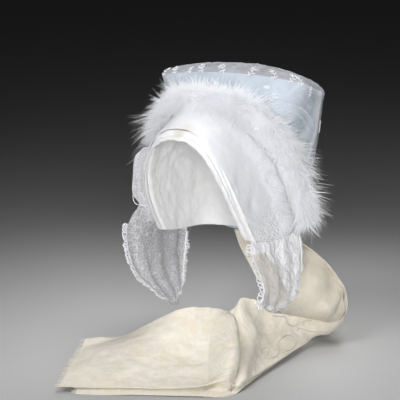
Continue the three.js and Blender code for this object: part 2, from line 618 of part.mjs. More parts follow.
// Looped edging round a lappet: down its front edge, along the hem and up its rear edge
function lappetTrim(lappet) {
  const grid = lappetGrid(lappet);
  const [hem, rear] = [LAPPET_ROWS - 1, LAPPET_COLUMNS - 1];
  const rows = grid.map((_, r) => r).slice(TRIM_FIRST_ROW);
  const node = (r, c, innerRow, innerColumn) => {
    const away = (row, col) => grid[r][c].clone().sub(grid[row][col]).normalize();
    const outward = innerRow === null ? new THREE.Vector3() : away(innerRow, c);
    return { point: grid[r][c], outward: innerColumn === null ? outward : outward.add(away(r, innerColumn)) };
  };
  const legs = [
    rows.map((r) => node(r, 0, r === hem ? hem - 1 : null, 1)),
    grid[hem].map((_, c) => node(hem, c, hem - 1, { 0: 1, [rear]: rear - 1 }[c] ?? null)),
    rows.map((r) => node(r, rear, r === hem ? hem - 1 : null, rear - 1)).reverse(),
  ];
  const path = legs.flatMap((leg, k) => spaced(leg, TRIM_LOOP / 2).slice(k ? 1 : 0));
  const squared = path.map(({ outward }, k) => {
    const [before, after] = [path[Math.max(k - 1, 0)], path[Math.min(k + 1, path.length - 1)]];
    const along = after.point.clone().sub(before.point).normalize();
    return outward.clone().addScaledVector(along, -outward.dot(along)).normalize();
  });
  const offset = (width) => path.map(({ point }, k) =>
    point.clone().addScaledVector(squared[k], TRIM_GAP + width(k)));
  const edge = offset(() => 0);
  const tips = offset((k) => TRIM_WIDTH - (k % 2) * TRIM_DEPTH);
  return clothWall([edge, tips], TRIM_WALL);
}

// Nodes at even steps along a line of nodes, from its first to its last
function spaced(nodes, step) {
  const reach = [0];
  nodes.slice(1).forEach((node, k) => reach.push(reach[k] + node.point.distanceTo(nodes[k].point)));
  const count = Math.max(Math.round(reach.at(-1) / step), 1);
  return Array.from({ length: count + 1 }, (_, k) => {
    const target = reach.at(-1) * k / count;
    const i = Math.min(Math.max(reach.findIndex((d) => d >= target) - 1, 0), nodes.length - 2);
    const f = Math.min((target - reach[i]) / (reach[i + 1] - reach[i]), 1);
    return {
      point: nodes[i].point.clone().lerp(nodes[i + 1].point, f),
      outward: nodes[i].outward.clone().lerp(nodes[i + 1].outward, f),
    };
  });
}

// Ribbon: the path of the upper tail's low edge and the way across it, without crown or folds
function ribbonPoint(t, s) {
  const nape = ringPoint(0, 0.5);
  const seamStand = (FORM_WALL + RIBBON_WALL) / 2 + NET_WALL + NET_FOLD + 2 * SEAM_GAP;
  const value = (name) => column(RIBBON_SECTIONS, name, t);
  const lift = 1.5 * RIBBON_WALL + RIBBON_LAYER_GAP + RIBBON_SLIP / 2;
  const low = new THREE.Vector3(
    value('x') * RIBBON_REACH,
    value('y') * RIBBON_REACH,
    -REST_DROP + lift + value('above') * (REST_DROP + nape.z - lift),
  );
  const across = new THREE.Vector3(value('acrossX'), value('acrossY'), value('acrossZ'));
  low.y += (nape.y + seamStand - RIBBON_SECTIONS[0].y * RIBBON_REACH) * Math.max(1 - 4 * t, 0);
  return low.addScaledVector(across, s * RIBBON_WIDTH);
}

// The tails lie on each other: layer 0 is the upper tail, and layer 1 lies under it, a little to its low side
function ribbonTail(layer) {
  const end = layer ? LOWER_TAIL_END : 1;
  const slip = layer * RIBBON_SLIP / RIBBON_WIDTH;
  const flat = gridOf(RIBBON_ROWS, RIBBON_COLUMNS, false, (t, s) => ribbonPoint(t * end, s - slip));
  const normals = gridNormals(flat, false);
  const facing = Math.sign(normals[RIBBON_ROWS - 1][0].z);
  const grid = flat.map((line, r) => line.map((p, c) => {
    const t = r / (RIBBON_ROWS - 1) * end;
    const s = c / (RIBBON_COLUMNS - 1) - slip;
    const bulge = column(RIBBON_SECTIONS, 'bulge', t) * RIBBON_WIDTH * Math.sin(Math.PI * s);
    const sink = layer * (RIBBON_WALL + RIBBON_LAYER_GAP);
    return p.clone().addScaledVector(normals[r][c], facing * (bulge - sink));
  }));
  return clothWall(grid, RIBBON_WALL);
}

const hat = new THREE.Group();
function addPiece(name, geometry, color, roughness) {
  const material = new THREE.MeshStandardMaterial({ color, roughness, metalness: 0 });
  const mesh = new THREE.Mesh(geometry, material);
  mesh.name = name;
  hat.add(mesh);
}

addPiece('under_cap', underCap(), 0xe9e7e4, 0.9);
addPiece('front_panel', clothWall(panelGrid(), PANEL_WALL), 0xf0f0f2, 0.85);
addPiece('crown_form', crownForm(), 0xd3e4ec, 0.45);
addPiece('crown_net', crownNet(), 0xe4e6ec, 0.8);
addPiece('fur_band', furBand(), 0xf4f4f8, 1);
addPiece('lappet_left', clothWall(lappetGrid(LEFT_LAPPET), LAPPET_WALL), 0xe6e6ea, 0.85);
addPiece('lappet_right', clothWall(lappetGrid(RIGHT_LAPPET), LAPPET_WALL), 0xe6e6ea, 0.85);
addPiece('cheek_frill', cheekFrill(), 0xe6e6ea, 0.85);
addPiece('lappet_trim_left', lappetTrim(LEFT_LAPPET), 0xf0f0f0, 0.85);
addPiece('lappet_trim_right', lappetTrim(RIGHT_LAPPET), 0xf0f0f0, 0.85);
addPiece('ribbon_upper', ribbonTail(0), 0xece4d4, 0.5);
addPiece('ribbon_lower', ribbonTail(1), 0xe8dfcb, 0.5);

export default hat;
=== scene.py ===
import math

import bpy
import numpy as np
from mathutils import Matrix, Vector, noise


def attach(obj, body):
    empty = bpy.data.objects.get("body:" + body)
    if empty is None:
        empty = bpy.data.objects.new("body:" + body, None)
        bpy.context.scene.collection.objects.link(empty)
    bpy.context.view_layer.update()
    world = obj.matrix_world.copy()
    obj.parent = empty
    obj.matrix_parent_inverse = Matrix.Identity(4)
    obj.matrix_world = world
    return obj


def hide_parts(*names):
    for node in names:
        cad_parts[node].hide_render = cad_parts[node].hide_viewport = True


# Looks of a tall folk bonnet of white linen, blue silk and net, with a fur band, lappets and a silk ribbon.
# Forms are worked out in millimetres in the frame's axes, and MM brings them to metres.
MM = 0.001

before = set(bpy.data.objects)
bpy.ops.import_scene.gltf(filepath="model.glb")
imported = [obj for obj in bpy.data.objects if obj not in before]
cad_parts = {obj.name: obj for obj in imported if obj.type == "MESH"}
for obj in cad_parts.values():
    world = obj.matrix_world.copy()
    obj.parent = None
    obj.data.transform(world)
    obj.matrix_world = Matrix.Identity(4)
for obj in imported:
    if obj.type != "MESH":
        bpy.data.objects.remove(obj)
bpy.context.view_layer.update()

# Sizes in millimetres and shares, the same as the frame's
HEAD_WIDTH = 153
HEAD_DEPTH = 194
HOOD_HEIGHT = 180
PANEL_WALL = 1.4
FORM_WALL = 2.0
NET_WALL = 1.2
LAPPET_WALL = 1.2
RIBBON_WALL = 1.2
SEAM_GAP = 0.5
CROWN_WIDTH = 254
CROWN_DEPTH = 110
CROWN_HEIGHT = 50
CROWN_LEAN = 32
CROWN_BACK_DROP = 37
RIM_ARCH = 9
NET_DOME = 22
RIM_ROLL = 1.5
DOME_SHOULDER = 0.8
NET_FOLD = 1.6
NET_FOLD_COUNT = 12
FUR_RADIUS = 29
LAPPET_LENGTH = 98
LAPPET_FOLD = 5
LAPPET_STAND = 3.5
LAPPET_FOLD_COUNT = 3.5
SIDE_REACH = 1.14
HEM_SAG = 0.12
FRILL_WIDTH = 14
FRILL_TOP = -0.56
RIBBON_WIDTH = 160
RIBBON_REACH = 300
REST_DROP = 336
RIBBON_LAYER_GAP = 2.6
RIBBON_SLIP = 5
LOWER_TAIL_END = 0.965
HOOP_SQUARENESS = 2.35
BASE_ARC_END = 128

# Hoops of the under-cap and of the front panel, from the face to the nape, as in the frame:
# places along Y are shares of HEAD_DEPTH, heights of HOOD_HEIGHT, halves of half HEAD_WIDTH
HOOP_COLUMNS = ("topY", "topZ", "lowY", "lowZ", "half", "bow")
CAP_HOOPS = (
    (-0.309, -0.115, 0.02, -0.925, 1.0, -0.075),
    (-0.18, -0.03, 0.14, -0.955, 1.028, -0.06),
    (0.0, 0.004, 0.29, -0.975, 1.035, -0.045),
    (0.2, -0.03, 0.44, -0.98, 1.04, -0.03),
    (0.39, -0.16, 0.56, -0.985, 1.02, 0.0),
    (0.54, -0.39, 0.65, -0.99, 0.93, 0.02),
    (0.65, -0.67, 0.705, -0.995, 0.7, 0.01),
    (0.715, -0.9, 0.73, -0.995, 0.3, 0.0),
)
PANEL_HOOPS = (
    (-0.268, -0.03, 0.03, -0.925, 1.045, -0.075),
    (-0.16, 0.045, 0.17, -0.955, 1.09, -0.062),
    (-0.03, 0.09, 0.36, -0.97, 1.125, -0.05),
    (0.1, 0.1, 0.55, -0.955, 1.14, -0.03),
)
BASE_RING = {"frontY": 0.227, "frontZ": 0.078, "rearY": 0.763, "rearZ": -1.028, "half": 1.17}
RING_COLUMNS = ("front", "back", "climb", "spread", "widest", "squareFront", "squareRear")
CROWN_RINGS = (
    (0.0, 0.0, 0.0, 0.0, 0.5, 2.5, 4.0),
    (0.36, 0.86, 0.36, 0.42, 0.42, 4.2, 2.8),
    (0.7, 1.1, 0.69, 0.74, 0.34, 6.0, 2.5),
    (1.0, 1.0, 1.0, 1.0, 0.28, 8.0, 2.4),
)
FUR_COLUMNS = ("along", "forward", "up", "out", "radius")
FUR_SECTIONS = (
    (0.0, -0.86, 0.42, 0.0, 0.96),
    (0.3, -0.66, 0.42, 0.2, 0.98),
    (0.55, -0.3, 0.15, 0.42, 1.08),
    (0.8, -0.12, 0.0, 0.42, 1.08),
    (1.0, 0.0, 0.0, 0.4, 0.8),
)
# Lappet rows from the seam to the hem: places along Y in shares of HEAD_DEPTH, folds of LAPPET_FOLD and the
# rest of LAPPET_LENGTH. The left one's folds are flatter than the frame's, and its lower front corner hangs
# further forward.
LAPPET_COLUMNS = ("frontY", "rearY", "frontDrop", "rearDrop", "frontOut", "rearOut", "fold")
LEFT_LAPPET_ROWS = (
    (0.02, 0.66, 0.0, 0.0, 0.0, 0.0, 0.1),
    (0.0, 0.68, 0.2, 0.26, 0.0, 0.0, 0.4),
    (0.05, 0.69, 0.5, 0.52, 0.06, 0.0, 0.55),
    (0.05, 0.68, 0.76, 0.77, 0.13, 0.0, 0.6),
    (0.01, 0.64, 1.0, 0.98, 0.08, 0.0, 0.6),
)
RIGHT_LAPPET_ROWS = (
    (-0.1, 0.5, -0.33, 0.0, 0.0, 0.0, 0.1),
    (-0.24, 0.49, -0.08, 0.25, 0.06, 0.0, 0.7),
    (-0.19, 0.48, 0.46, 0.5, 0.04, 0.0, 1.0),
    (-0.09, 0.46, 0.82, 0.76, -0.06, 0.0, 1.0),
    (0.07, 0.42, 1.12, 1.0, -0.24, -0.05, 0.8),
)
LEFT_LAPPET = {"rows": LEFT_LAPPET_ROWS, "side": 1, "seamFront": 0.02, "seamRear": 0.97}
RIGHT_LAPPET = {"rows": RIGHT_LAPPET_ROWS, "side": -1, "seamFront": -0.2, "seamRear": 0.72}
# Ribbon sections from the nape to the free end: x and y in shares of RIBBON_REACH, 'above' in shares of
# the fall from the nape, across in shares of RIBBON_WIDTH
RIBBON_COLUMNS = ("x", "y", "above", "acrossX", "acrossY", "acrossZ", "bulge")
RIBBON_SECTIONS = (
    (-0.117, 0.515, 1.0, 0.47, 0.0, 0.0, 0.0),
    (-0.1, 0.56, 0.8, 0.6, -0.02, 0.06, 0.06),
    (-0.05, 0.62, 0.52, 0.74, -0.05, 0.13, 0.1),
    (0.03, 0.655, 0.22, 0.8, -0.12, 0.2, 0.12),
    (0.15, 0.64, 0.03, 0.68, -0.18, 0.26, 0.12),
    (0.28, 0.56, 0.01, 0.5, -0.18, 0.19, 0.1),
    (0.38, 0.45, 0.01, 0.26, -0.12, 0.17, 0.05),
    (0.43, 0.3, 0.01, 0.05, 0.0, 0.22, -0.05),
    (0.46, 0.137, 0.01, -0.05, 0.16, 0.27, -0.1),
    (0.507, -0.163, 0.01, -0.28, 0.44, 0.35, -0.12),
    (0.545, -0.4, 0.01, -0.5, 0.62, 0.41, -0.06),
    (0.555, -0.55, 0.01, -0.55, 0.76, 0.44, 0.08),
    (0.45, -0.64, 0.01, -0.48, 0.82, 0.5, -0.08),
    (0.257, -0.757, 0.01, -0.31, 0.82, 0.5, -0.08),
    (0.067, -0.873, 0.01, -0.36, 0.85, 0.27, 0.03),
    (-0.087, -0.963, 0.01, -0.41, 0.86, 0.13, 0.02),
)


def cubic(a, b, c, d, f):
    return 0.5 * (2 * b + (c - a) * f + (2 * a - 5 * b + 4 * c - d) * f**2 + (3 * b - a - 3 * c + d) * f**3)


def reader(rows, names):
    """Reads a column of a table smoothly at t from 0 to 1"""
    table = {name: np.array([row[k] for row in rows], float) for k, name in enumerate(names)}
    last = len(rows) - 1

    def read(name, t):
        place = np.clip(t, 0, 1) * last
        i = np.minimum(np.floor(place).astype(int), last - 1)
        a, b, c, d = (table[name][np.clip(i + k, 0, last)] for k in (-1, 0, 1, 2))
        return cubic(a, b, c, d, place - i)

    return read


def signed_power(value, power):
    return np.sign(value) * np.abs(value) ** power


def smooth(low, high, value):
    f = np.clip((value - low) / (high - low), 0, 1)
    return f * f * (3 - 2 * f)


def points(x, y, z):
    return np.stack(np.broadcast_arrays(x, y, z), axis=-1).astype(float)


def unit(v):
    return v / np.maximum(np.linalg.norm(v, axis=-1, keepdims=True), 1e-12)


def bell(away, width):
    """1 where away is 0, and almost 0 beyond twice the width"""
    return np.exp(-((away / width) ** 2))


def run_lengths(path):
    """Distance along a path from its start to each of its points"""
    return np.concatenate([[0], np.cumsum(np.linalg.norm(np.diff(path, axis=0), axis=-1))])


def slope(curve, value, step, low=0):
    """Way along a curve at values from low to 1"""
    return curve(np.minimum(value + step, 1)) - curve(np.maximum(value - step, low))


def along_line(places, stops, line):
    """Points at some places of a line of points that lie at the stops"""
    return np.stack([np.interp(places, stops, line[:, k]) for k in range(3)], axis=-1)


def shares(rows, columns, closed=False):
    """Two arrays of shares, t down the rows and s along the columns"""
    t = np.linspace(0, 1, rows)
    s = np.linspace(0, 1, columns, endpoint=not closed)
    return np.meshgrid(t, s, indexing="ij")


def normals_of(grid, closed=False):
    if closed:
        across = np.roll(grid, -1, axis=1) - np.roll(grid, 1, axis=1)
    else:
        across = np.gradient(grid, axis=1)
    return unit(np.cross(across, np.gradient(grid, axis=0)))


def hoop_point(hoops, t, turn):
    """Arch over the head: turn runs from -1 at the wearer's right to 1 at the left, 0 at the top"""
    read = reader(hoops, HOOP_COLUMNS)
    angle = turn * np.pi / 2
    height = np.abs(np.cos(angle)) ** (2 / HOOP_SQUARENESS)
    x = read("half", t) * HEAD_WIDTH / 2 * signed_power(np.sin(angle), 2 / HOOP_SQUARENESS)
    bow = 4 * height * (1 - height) * read("bow", t)
    y = (read("lowY", t) + (read("topY", t) - read("lowY", t)) * height + bow) * HEAD_DEPTH
    z = (read("lowZ", t) + (read("topZ", t) - read("lowZ", t)) * height) * HOOD_HEIGHT
    return points(x, y, z)


def ring_point(t, turn):
    """Ring of the crown from the base to the rim: turn is 0 in front, 0.5 at the rear"""
    read = reader(CROWN_RINGS, RING_COLUMNS)
    base_y, base_rear_y = (BASE_RING[key] * HEAD_DEPTH for key in ("frontY", "rearY"))
    base_z, base_rear_z = (BASE_RING[key] * HOOD_HEIGHT for key in ("frontZ", "rearZ"))
    base_half = BASE_RING["half"] * HEAD_WIDTH / 2
    angle = turn * 2 * np.pi
    front = read("front", t)
    front_y = base_y + CROWN_LEAN * front
    front_z = base_z + CROWN_HEIGHT * front
    rear_y = base_rear_y + (base_y + CROWN_LEAN + CROWN_DEPTH - base_rear_y) * read("back", t)
    rear_z = base_rear_z + (base_z + CROWN_HEIGHT - CROWN_BACK_DROP - base_rear_z) * read("climb", t)
    half = base_half + (CROWN_WIDTH / 2 - base_half) * read("spread", t)
    in_front = np.cos(angle) > 0
    square = np.where(in_front, read("squareFront", t), read("squareRear", t))
    widest = read("widest", t)
    back = widest - np.where(in_front, widest, 1 - widest) * signed_power(np.cos(angle), 2 / square)
    aside = signed_power(np.sin(angle), 2 / square)
    z = front_z + (rear_z - front_z) * back - RIM_ARCH * front * aside**2
    return points(half * aside, front_y + (rear_y - front_y) * back, z)


def base_arc(turn):
    """The base ring from the wearer's right corner, over the top, to the left corner"""
    return ring_point(0 * turn, turn * BASE_ARC_END / 360)


def panel_point(t, turn):
    """The panel from its face edge to its seat on the crown's base, with turn as for hoop_point"""
    last = len(PANEL_HOOPS)
    t, turn = np.broadcast_arrays(np.asarray(t, float), np.asarray(turn, float))
    place = np.clip(t, 0, 1) * last
    i = np.minimum(np.floor(place).astype(int), last - 1)
    inset = (PANEL_WALL + FORM_WALL) / 2 + SEAM_GAP
    centre = (ring_point(np.array(0.0), np.array(0.0)) + ring_point(np.array(0.0), np.array(0.5))) / 2
    ring = base_arc(turn)
    seat = (ring - centre) * (1 - inset / np.linalg.norm(ring, axis=-1, keepdims=True)) + centre
    hoops = [hoop_point(PANEL_HOOPS, 0 * turn + k / (last - 1), turn) for k in range(last)]
    stations = np.stack([*hoops, seat])

    def station(k):
        return np.take_along_axis(stations, np.clip(i + k, 0, last)[None, ..., None], axis=0)[0]

    return cubic(*map(station, (-1, 0, 1, 2)), (place - i)[..., None])


def seam_point(side, q):
    """The lappet's seam along the panel's low edge, and for q under 0 up its face edge"""
    q = np.asarray(q, float)
    t = np.maximum(q, 0)
    turn = side * (1 - np.maximum(-q, 0))
    step = 0.02
    p = panel_point(t, turn)
    along = slope(lambda at: panel_point(at, turn), t, step)
    down = p - panel_point(t, turn - side * step)
    outward = unit(np.cross(along, down))
    outward *= np.sign(outward[..., :1]) * side
    return p + outward * ((PANEL_WALL + LAPPET_WALL) / 2 + SEAM_GAP)


def lappet_point(lappet, t, s):
    """A lappet from its seam to its hem, and from its front edge to its rear one"""
    read = reader(lappet["rows"], LAPPET_COLUMNS)
    side = lappet["side"]

    def mix(front, rear):
        return read(front, t) * (1 - s) + read(rear, t) * s

    seam = seam_point(side, lappet["seamFront"] * (1 - s) + lappet["seamRear"] * s)
    drop = mix("frontDrop", "rearDrop") + HEM_SAG * t * np.sin(np.pi * s)
    wave = np.sin(s * 2 * np.pi * LAPPET_FOLD_COUNT)
    x = side * (SIDE_REACH * HEAD_WIDTH / 2 + LAPPET_STAND + mix("frontOut", "rearOut") * LAPPET_LENGTH
                + LAPPET_FOLD * read("fold", t) * (0.5 + 0.5 * wave))
    z = PANEL_HOOPS[0][3] * HOOD_HEIGHT - drop * LAPPET_LENGTH
    hang = points(x, mix("frontY", "rearY") * HEAD_DEPTH, z)
    return seam + (hang - seam) * smooth(0, 0.22, t)[..., None]


def ribbon_base(t, s):
    """The plain band of the upper tail from the nape to its free end, and from its low edge to its top one"""
    read = reader(RIBBON_SECTIONS, RIBBON_COLUMNS)
    nape = ring_point(np.array(0.0), np.array(0.5))
    stand = (FORM_WALL + RIBBON_WALL) / 2 + NET_WALL + NET_FOLD + 2 * SEAM_GAP
    lift = 1.5 * RIBBON_WALL + RIBBON_LAYER_GAP + RIBBON_SLIP / 2
    first_y = RIBBON_SECTIONS[0][1] * RIBBON_REACH
    y = read("y", t) * RIBBON_REACH + (nape[1] + stand - first_y) * np.maximum(1 - 4 * t, 0)
    z = -REST_DROP + lift + read("above", t) * (REST_DROP + nape[2] - lift)
    low = points(read("x", t) * RIBBON_REACH, y, z)
    across = points(read("acrossX", t), read("acrossY", t), read("acrossZ", t))
    return low + across * (s * RIBBON_WIDTH)[..., None]


def ribbon_point(t, s):
    """Surface of the upper tail, with its crown"""
    step = 0.01
    p = ribbon_base(t, s)
    along = slope(lambda at: ribbon_base(at, s), t, step)
    across = ribbon_base(t, s + step) - ribbon_base(t, s - step)
    normal = unit(np.cross(across, along))
    bulge = reader(RIBBON_SECTIONS, RIBBON_COLUMNS)("bulge", t) * RIBBON_WIDTH * np.sin(np.pi * s)
    return p, normal, bulge


def fur_section(share):
    """Reader of the band's sections and the place in them. Share runs from -1, right, to 1, left."""
    read = reader(FUR_SECTIONS, FUR_COLUMNS)
    stops = np.array([row[0] for row in FUR_SECTIONS])
    return read, np.interp(np.abs(share), stops, np.linspace(0, 1, len(stops)))


def fur_centre(share):
    read, place = fur_section(share)
    offset = points(read("out", place) * np.sign(share), read("forward", place), read("up", place))
    return base_arc(share) + offset * FUR_RADIUS


def fur_frame(share):
    """Middle of the band, and the ways along it, to its side and away from the head"""
    step = 0.02
    head = np.array([0, BASE_RING["frontY"] * HEAD_DEPTH, -HOOD_HEIGHT / 2])
    centre = fur_centre(share)
    along = unit(slope(fur_centre, share, step, low=-1))
    side = unit(np.cross(along, unit(centre - head)))
    return centre, along, side, unit(np.cross(side, along))


def fur_point(share, angle, scale):
    read, place = fur_section(share)
    centre, _, side, outward = fur_frame(share)
    end = np.sqrt(np.maximum(1 - np.abs(share) ** 8, 0.08))
    radius = (read("radius", place) * FUR_RADIUS * end * scale)[..., None]
    return centre + radius * (side * np.sin(angle)[..., None] + outward * np.cos(angle)[..., None])


# Camera at the photo's angle
CAMERA_PLACE = (1.2427, -1.7748, 0.267)
CAMERA_TARGET = (0.0, 0.0, -0.115)
CAMERA_LENS = 136.55
CAMERA_SENSOR = 36
CAMERA_SIGHT = 100


def add_object(name, data, place, target):
    """A camera or light at a place in metres, turned to its target"""
    thing = bpy.data.objects.new(name, data)
    thing.location = place
    way = Vector(target) - Vector(place)
    thing.rotation_euler = way.to_track_quat("-Z", "Y").to_euler()
    bpy.context.collection.objects.link(thing)
    return thing


def add_camera():
    lens = bpy.data.cameras.new("camera")
    lens.sensor_width = CAMERA_SENSOR
    lens.lens = CAMERA_LENS
    lens.clip_end = CAMERA_SIGHT
    bpy.context.scene.camera = add_object("camera", lens, CAMERA_PLACE, CAMERA_TARGET)


# Meshes
def build_mesh(name, vertices, quads=None, tris=None, flat=None, shade=None, slots=None):
    """Mesh object in metres. flat is the place on the cloth in millimetres, shade a share per vertex."""
    quads = np.empty((0, 4), int) if quads is None else np.asarray(quads, int)
    tris = np.empty((0, 3), int) if tris is None else np.asarray(tris, int)
    mesh = bpy.data.meshes.new(name)
    mesh.vertices.add(len(vertices))
    mesh.vertices.foreach_set("co", (np.asarray(vertices, float) * MM).ravel())
    loops = np.concatenate([quads.ravel(), tris.ravel()])
    mesh.loops.add(len(loops))
    mesh.loops.foreach_set("vertex_index", loops)
    starts = np.concatenate([np.arange(len(quads)) * 4, len(quads) * 4 + np.arange(len(tris)) * 3])
    mesh.polygons.add(len(starts))
    mesh.polygons.foreach_set("loop_start", starts)
    if slots is not None:
        mesh.polygons.foreach_set("material_index", slots)
    mesh.update(calc_edges=True)
    mesh.validate()
    mesh.shade_smooth()
    if flat is not None:
        mesh.attributes.new("flat", "FLOAT_VECTOR", "POINT").data.foreach_set("vector", flat.ravel())
    if shade is not None:
        mesh.attributes.new("shade", "FLOAT", "POINT").data.foreach_set("value", shade.ravel())
    thing = bpy.data.objects.new(name, mesh)
    bpy.context.collection.objects.link(thing)
    return thing


def grid_quads(rows, columns, closed=False, first=0):
    """Quads between the points of a grid, whose last column meets its first one if it is closed"""
    steps = columns if closed else columns - 1
    r, c = np.meshgrid(np.arange(rows - 1), np.arange(steps), indexing="ij")
    right = (c + 1) % columns
    corners = [r * columns + c, r * columns + right, (r + 1) * columns + right, (r + 1) * columns + c]
    return first + np.stack(corners, axis=-1).reshape(-1, 4)


def flat_places(grid):
    """Places on the cloth: distance along the columns, distance down the rows, in millimetres"""
    across = np.linalg.norm(np.diff(grid, axis=1), axis=-1).mean(axis=0)
    down = np.linalg.norm(np.diff(grid, axis=0), axis=-1).mean(axis=1)
    u = np.concatenate([[0], np.cumsum(across)])
    v = np.concatenate([[0], np.cumsum(down)])
    u, v = np.meshgrid(u - u[-1] / 2, v)
    return np.stack([u, v, 0 * u], axis=-1)


def cloth_parts(grid, wall, closed=False, shade=None):
    """Vertices, quads, places and shades of a closed wall of cloth on both sides of a grid"""
    rows, columns = grid.shape[:2]
    half = normals_of(grid, closed) * wall / 2
    vertices = np.concatenate([(grid + half).reshape(-1, 3), (grid - half).reshape(-1, 3)])
    side = rows * columns
    outer = grid_quads(rows, columns, closed)
    inner = grid_quads(rows, columns, closed, side)[:, ::-1]
    steps = np.arange(columns if closed else columns - 1)
    after = (steps + 1) % columns
    base = (rows - 1) * columns
    rims = [
        np.stack([steps + side, after + side, after, steps], axis=-1),
        np.stack([base + steps, base + after, base + after + side, base + steps + side], axis=-1),
    ]
    if not closed:
        down = np.arange(rows - 1) * columns
        edge = down + columns - 1
        rims.append(np.stack([down, down + columns, down + columns + side, down + side], axis=-1))
        rims.append(np.stack([edge + side, edge + columns + side, edge + columns, edge], axis=-1))
    flat = flat_places(grid).reshape(-1, 3)
    shades = None if shade is None else np.tile(shade.ravel(), 2)
    return vertices, np.concatenate([outer, inner, *rims]), np.tile(flat, (2, 1)), shades


def cloth(name, grid, wall, closed=False, shade=None):
    vertices, quads, flat, shades = cloth_parts(grid, wall, closed, shade)
    thing = build_mesh(name, vertices, quads, flat=flat, shade=shades)
    thing.data.set_sharp_from_angle(angle=SHARP_EDGE)
    return thing


def sheer(name, grid, closed=False, shade=None):
    """A single layer of net or lace"""
    rows, columns = grid.shape[:2]
    quads = grid_quads(rows, columns, closed)
    return build_mesh(name, grid.reshape(-1, 3), quads, flat=flat_places(grid).reshape(-1, 3), shade=shade)


# A way that no thread runs along for long
TUBE_UP = (0.31, 0.17, 0.93)
SHARP_EDGE = math.radians(60)


def tube_parts(path, radius, sides=6, closed=False):
    """Vertices and quads of a thread along a path of points"""
    path = np.asarray(path, float)
    if closed:
        along = unit(np.roll(path, -1, axis=0) - np.roll(path, 1, axis=0))
    else:
        along = unit(np.gradient(path, axis=0))
    first = unit(np.cross(along, TUBE_UP))
    second = np.cross(along, first)
    angle = np.linspace(0, 2 * np.pi, sides, endpoint=False)
    radius = np.broadcast_to(radius, len(path))[:, None, None]
    ring = first[:, None] * np.cos(angle)[None, :, None] + second[:, None] * np.sin(angle)[None, :, None]
    vertices = (path[:, None] + radius * ring).reshape(-1, 3)
    quads = grid_quads(len(path), sides, True)
    if closed:
        last = (len(path) - 1) * sides
        c = np.arange(sides)
        after = (c + 1) % sides
        quads = np.concatenate([quads, np.stack([last + c, last + after, after, c], axis=-1)])
    return vertices, quads


def joined(parts):
    """One set of vertices and faces from several"""
    vertices, faces, first = [], [], 0
    for points_here, faces_here in parts:
        vertices.append(points_here)
        faces.append(faces_here + first)
        first += len(points_here)
    return np.concatenate(vertices), np.concatenate(faces)


class Surface:
    """A grid of points that can be read between its rows and columns"""

    def __init__(self, grid, closed=False):
        self.grid = grid
        self.closed = closed
        self.normal = normals_of(grid, closed)

    def walk(self, t, s, across, along):
        """Shares of the places that lie these millimetres across and along from t and s"""
        rows, columns = self.grid.shape[:2]
        line = self.grid[round(t * (rows - 1))]
        if self.closed:
            line = np.concatenate([line, line[:1]])
        column = self.grid[:, round(s % 1 * (columns - 1))]
        found = []
        for run, start, way, loop in ((column, t, along, False), (line, s % 1, across, self.closed)):
            lengths = run_lengths(run)
            stops = np.linspace(0, 1, len(run))
            there = np.interp(start, stops, lengths) + way
            if loop:
                there = there % lengths[-1]
            found.append(np.interp(there, lengths, stops))
        return found

    def at(self, t, s, stand):
        """Points at shares t and s, stand millimetres off the surface"""
        rows, columns = self.grid.shape[:2]
        i = np.clip(t, 0, 1) * (rows - 1)
        k = (s % 1) * columns if self.closed else np.clip(s, 0, 1) * (columns - 1)
        a = np.minimum(i.astype(int), rows - 2)
        b = k.astype(int) if self.closed else np.minimum(k.astype(int), columns - 2)
        after = (b + 1) % columns
        f, g = (i - a)[:, None], (k - b)[:, None]
        low = self.grid[a, b] * (1 - g) + self.grid[a, after] * g
        high = self.grid[a + 1, b] * (1 - g) + self.grid[a + 1, after] * g
        return low * (1 - f) + high * f + self.normal[a, b] * stand


def finish_piece(thing, material, replaces=()):
    """Gives a piece its material, and ties it to the frame"""
    thing.data.materials.append(material)
    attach(thing, "root")
    if replaces:
        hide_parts(*replaces)


# Smooth random fields, the same each run
def bumps(grid, size, seed=0, octaves=3):
    """Soft noise from -1 to 1 over a grid of points, with lumps of about 'size' millimetres"""
    flat = grid.reshape(-1, 3) / size
    shift = Vector((13.7 * seed, 7.3 * seed, 3.1 * seed))
    values = [noise.fractal(Vector(p) + shift, 0.6, 2.0, octaves) for p in flat]
    return np.array(values).reshape(grid.shape[:-1])


# Materials
# Scale at which the wave texture has one wave a millimetre
WAVE_SCALE = 0.314


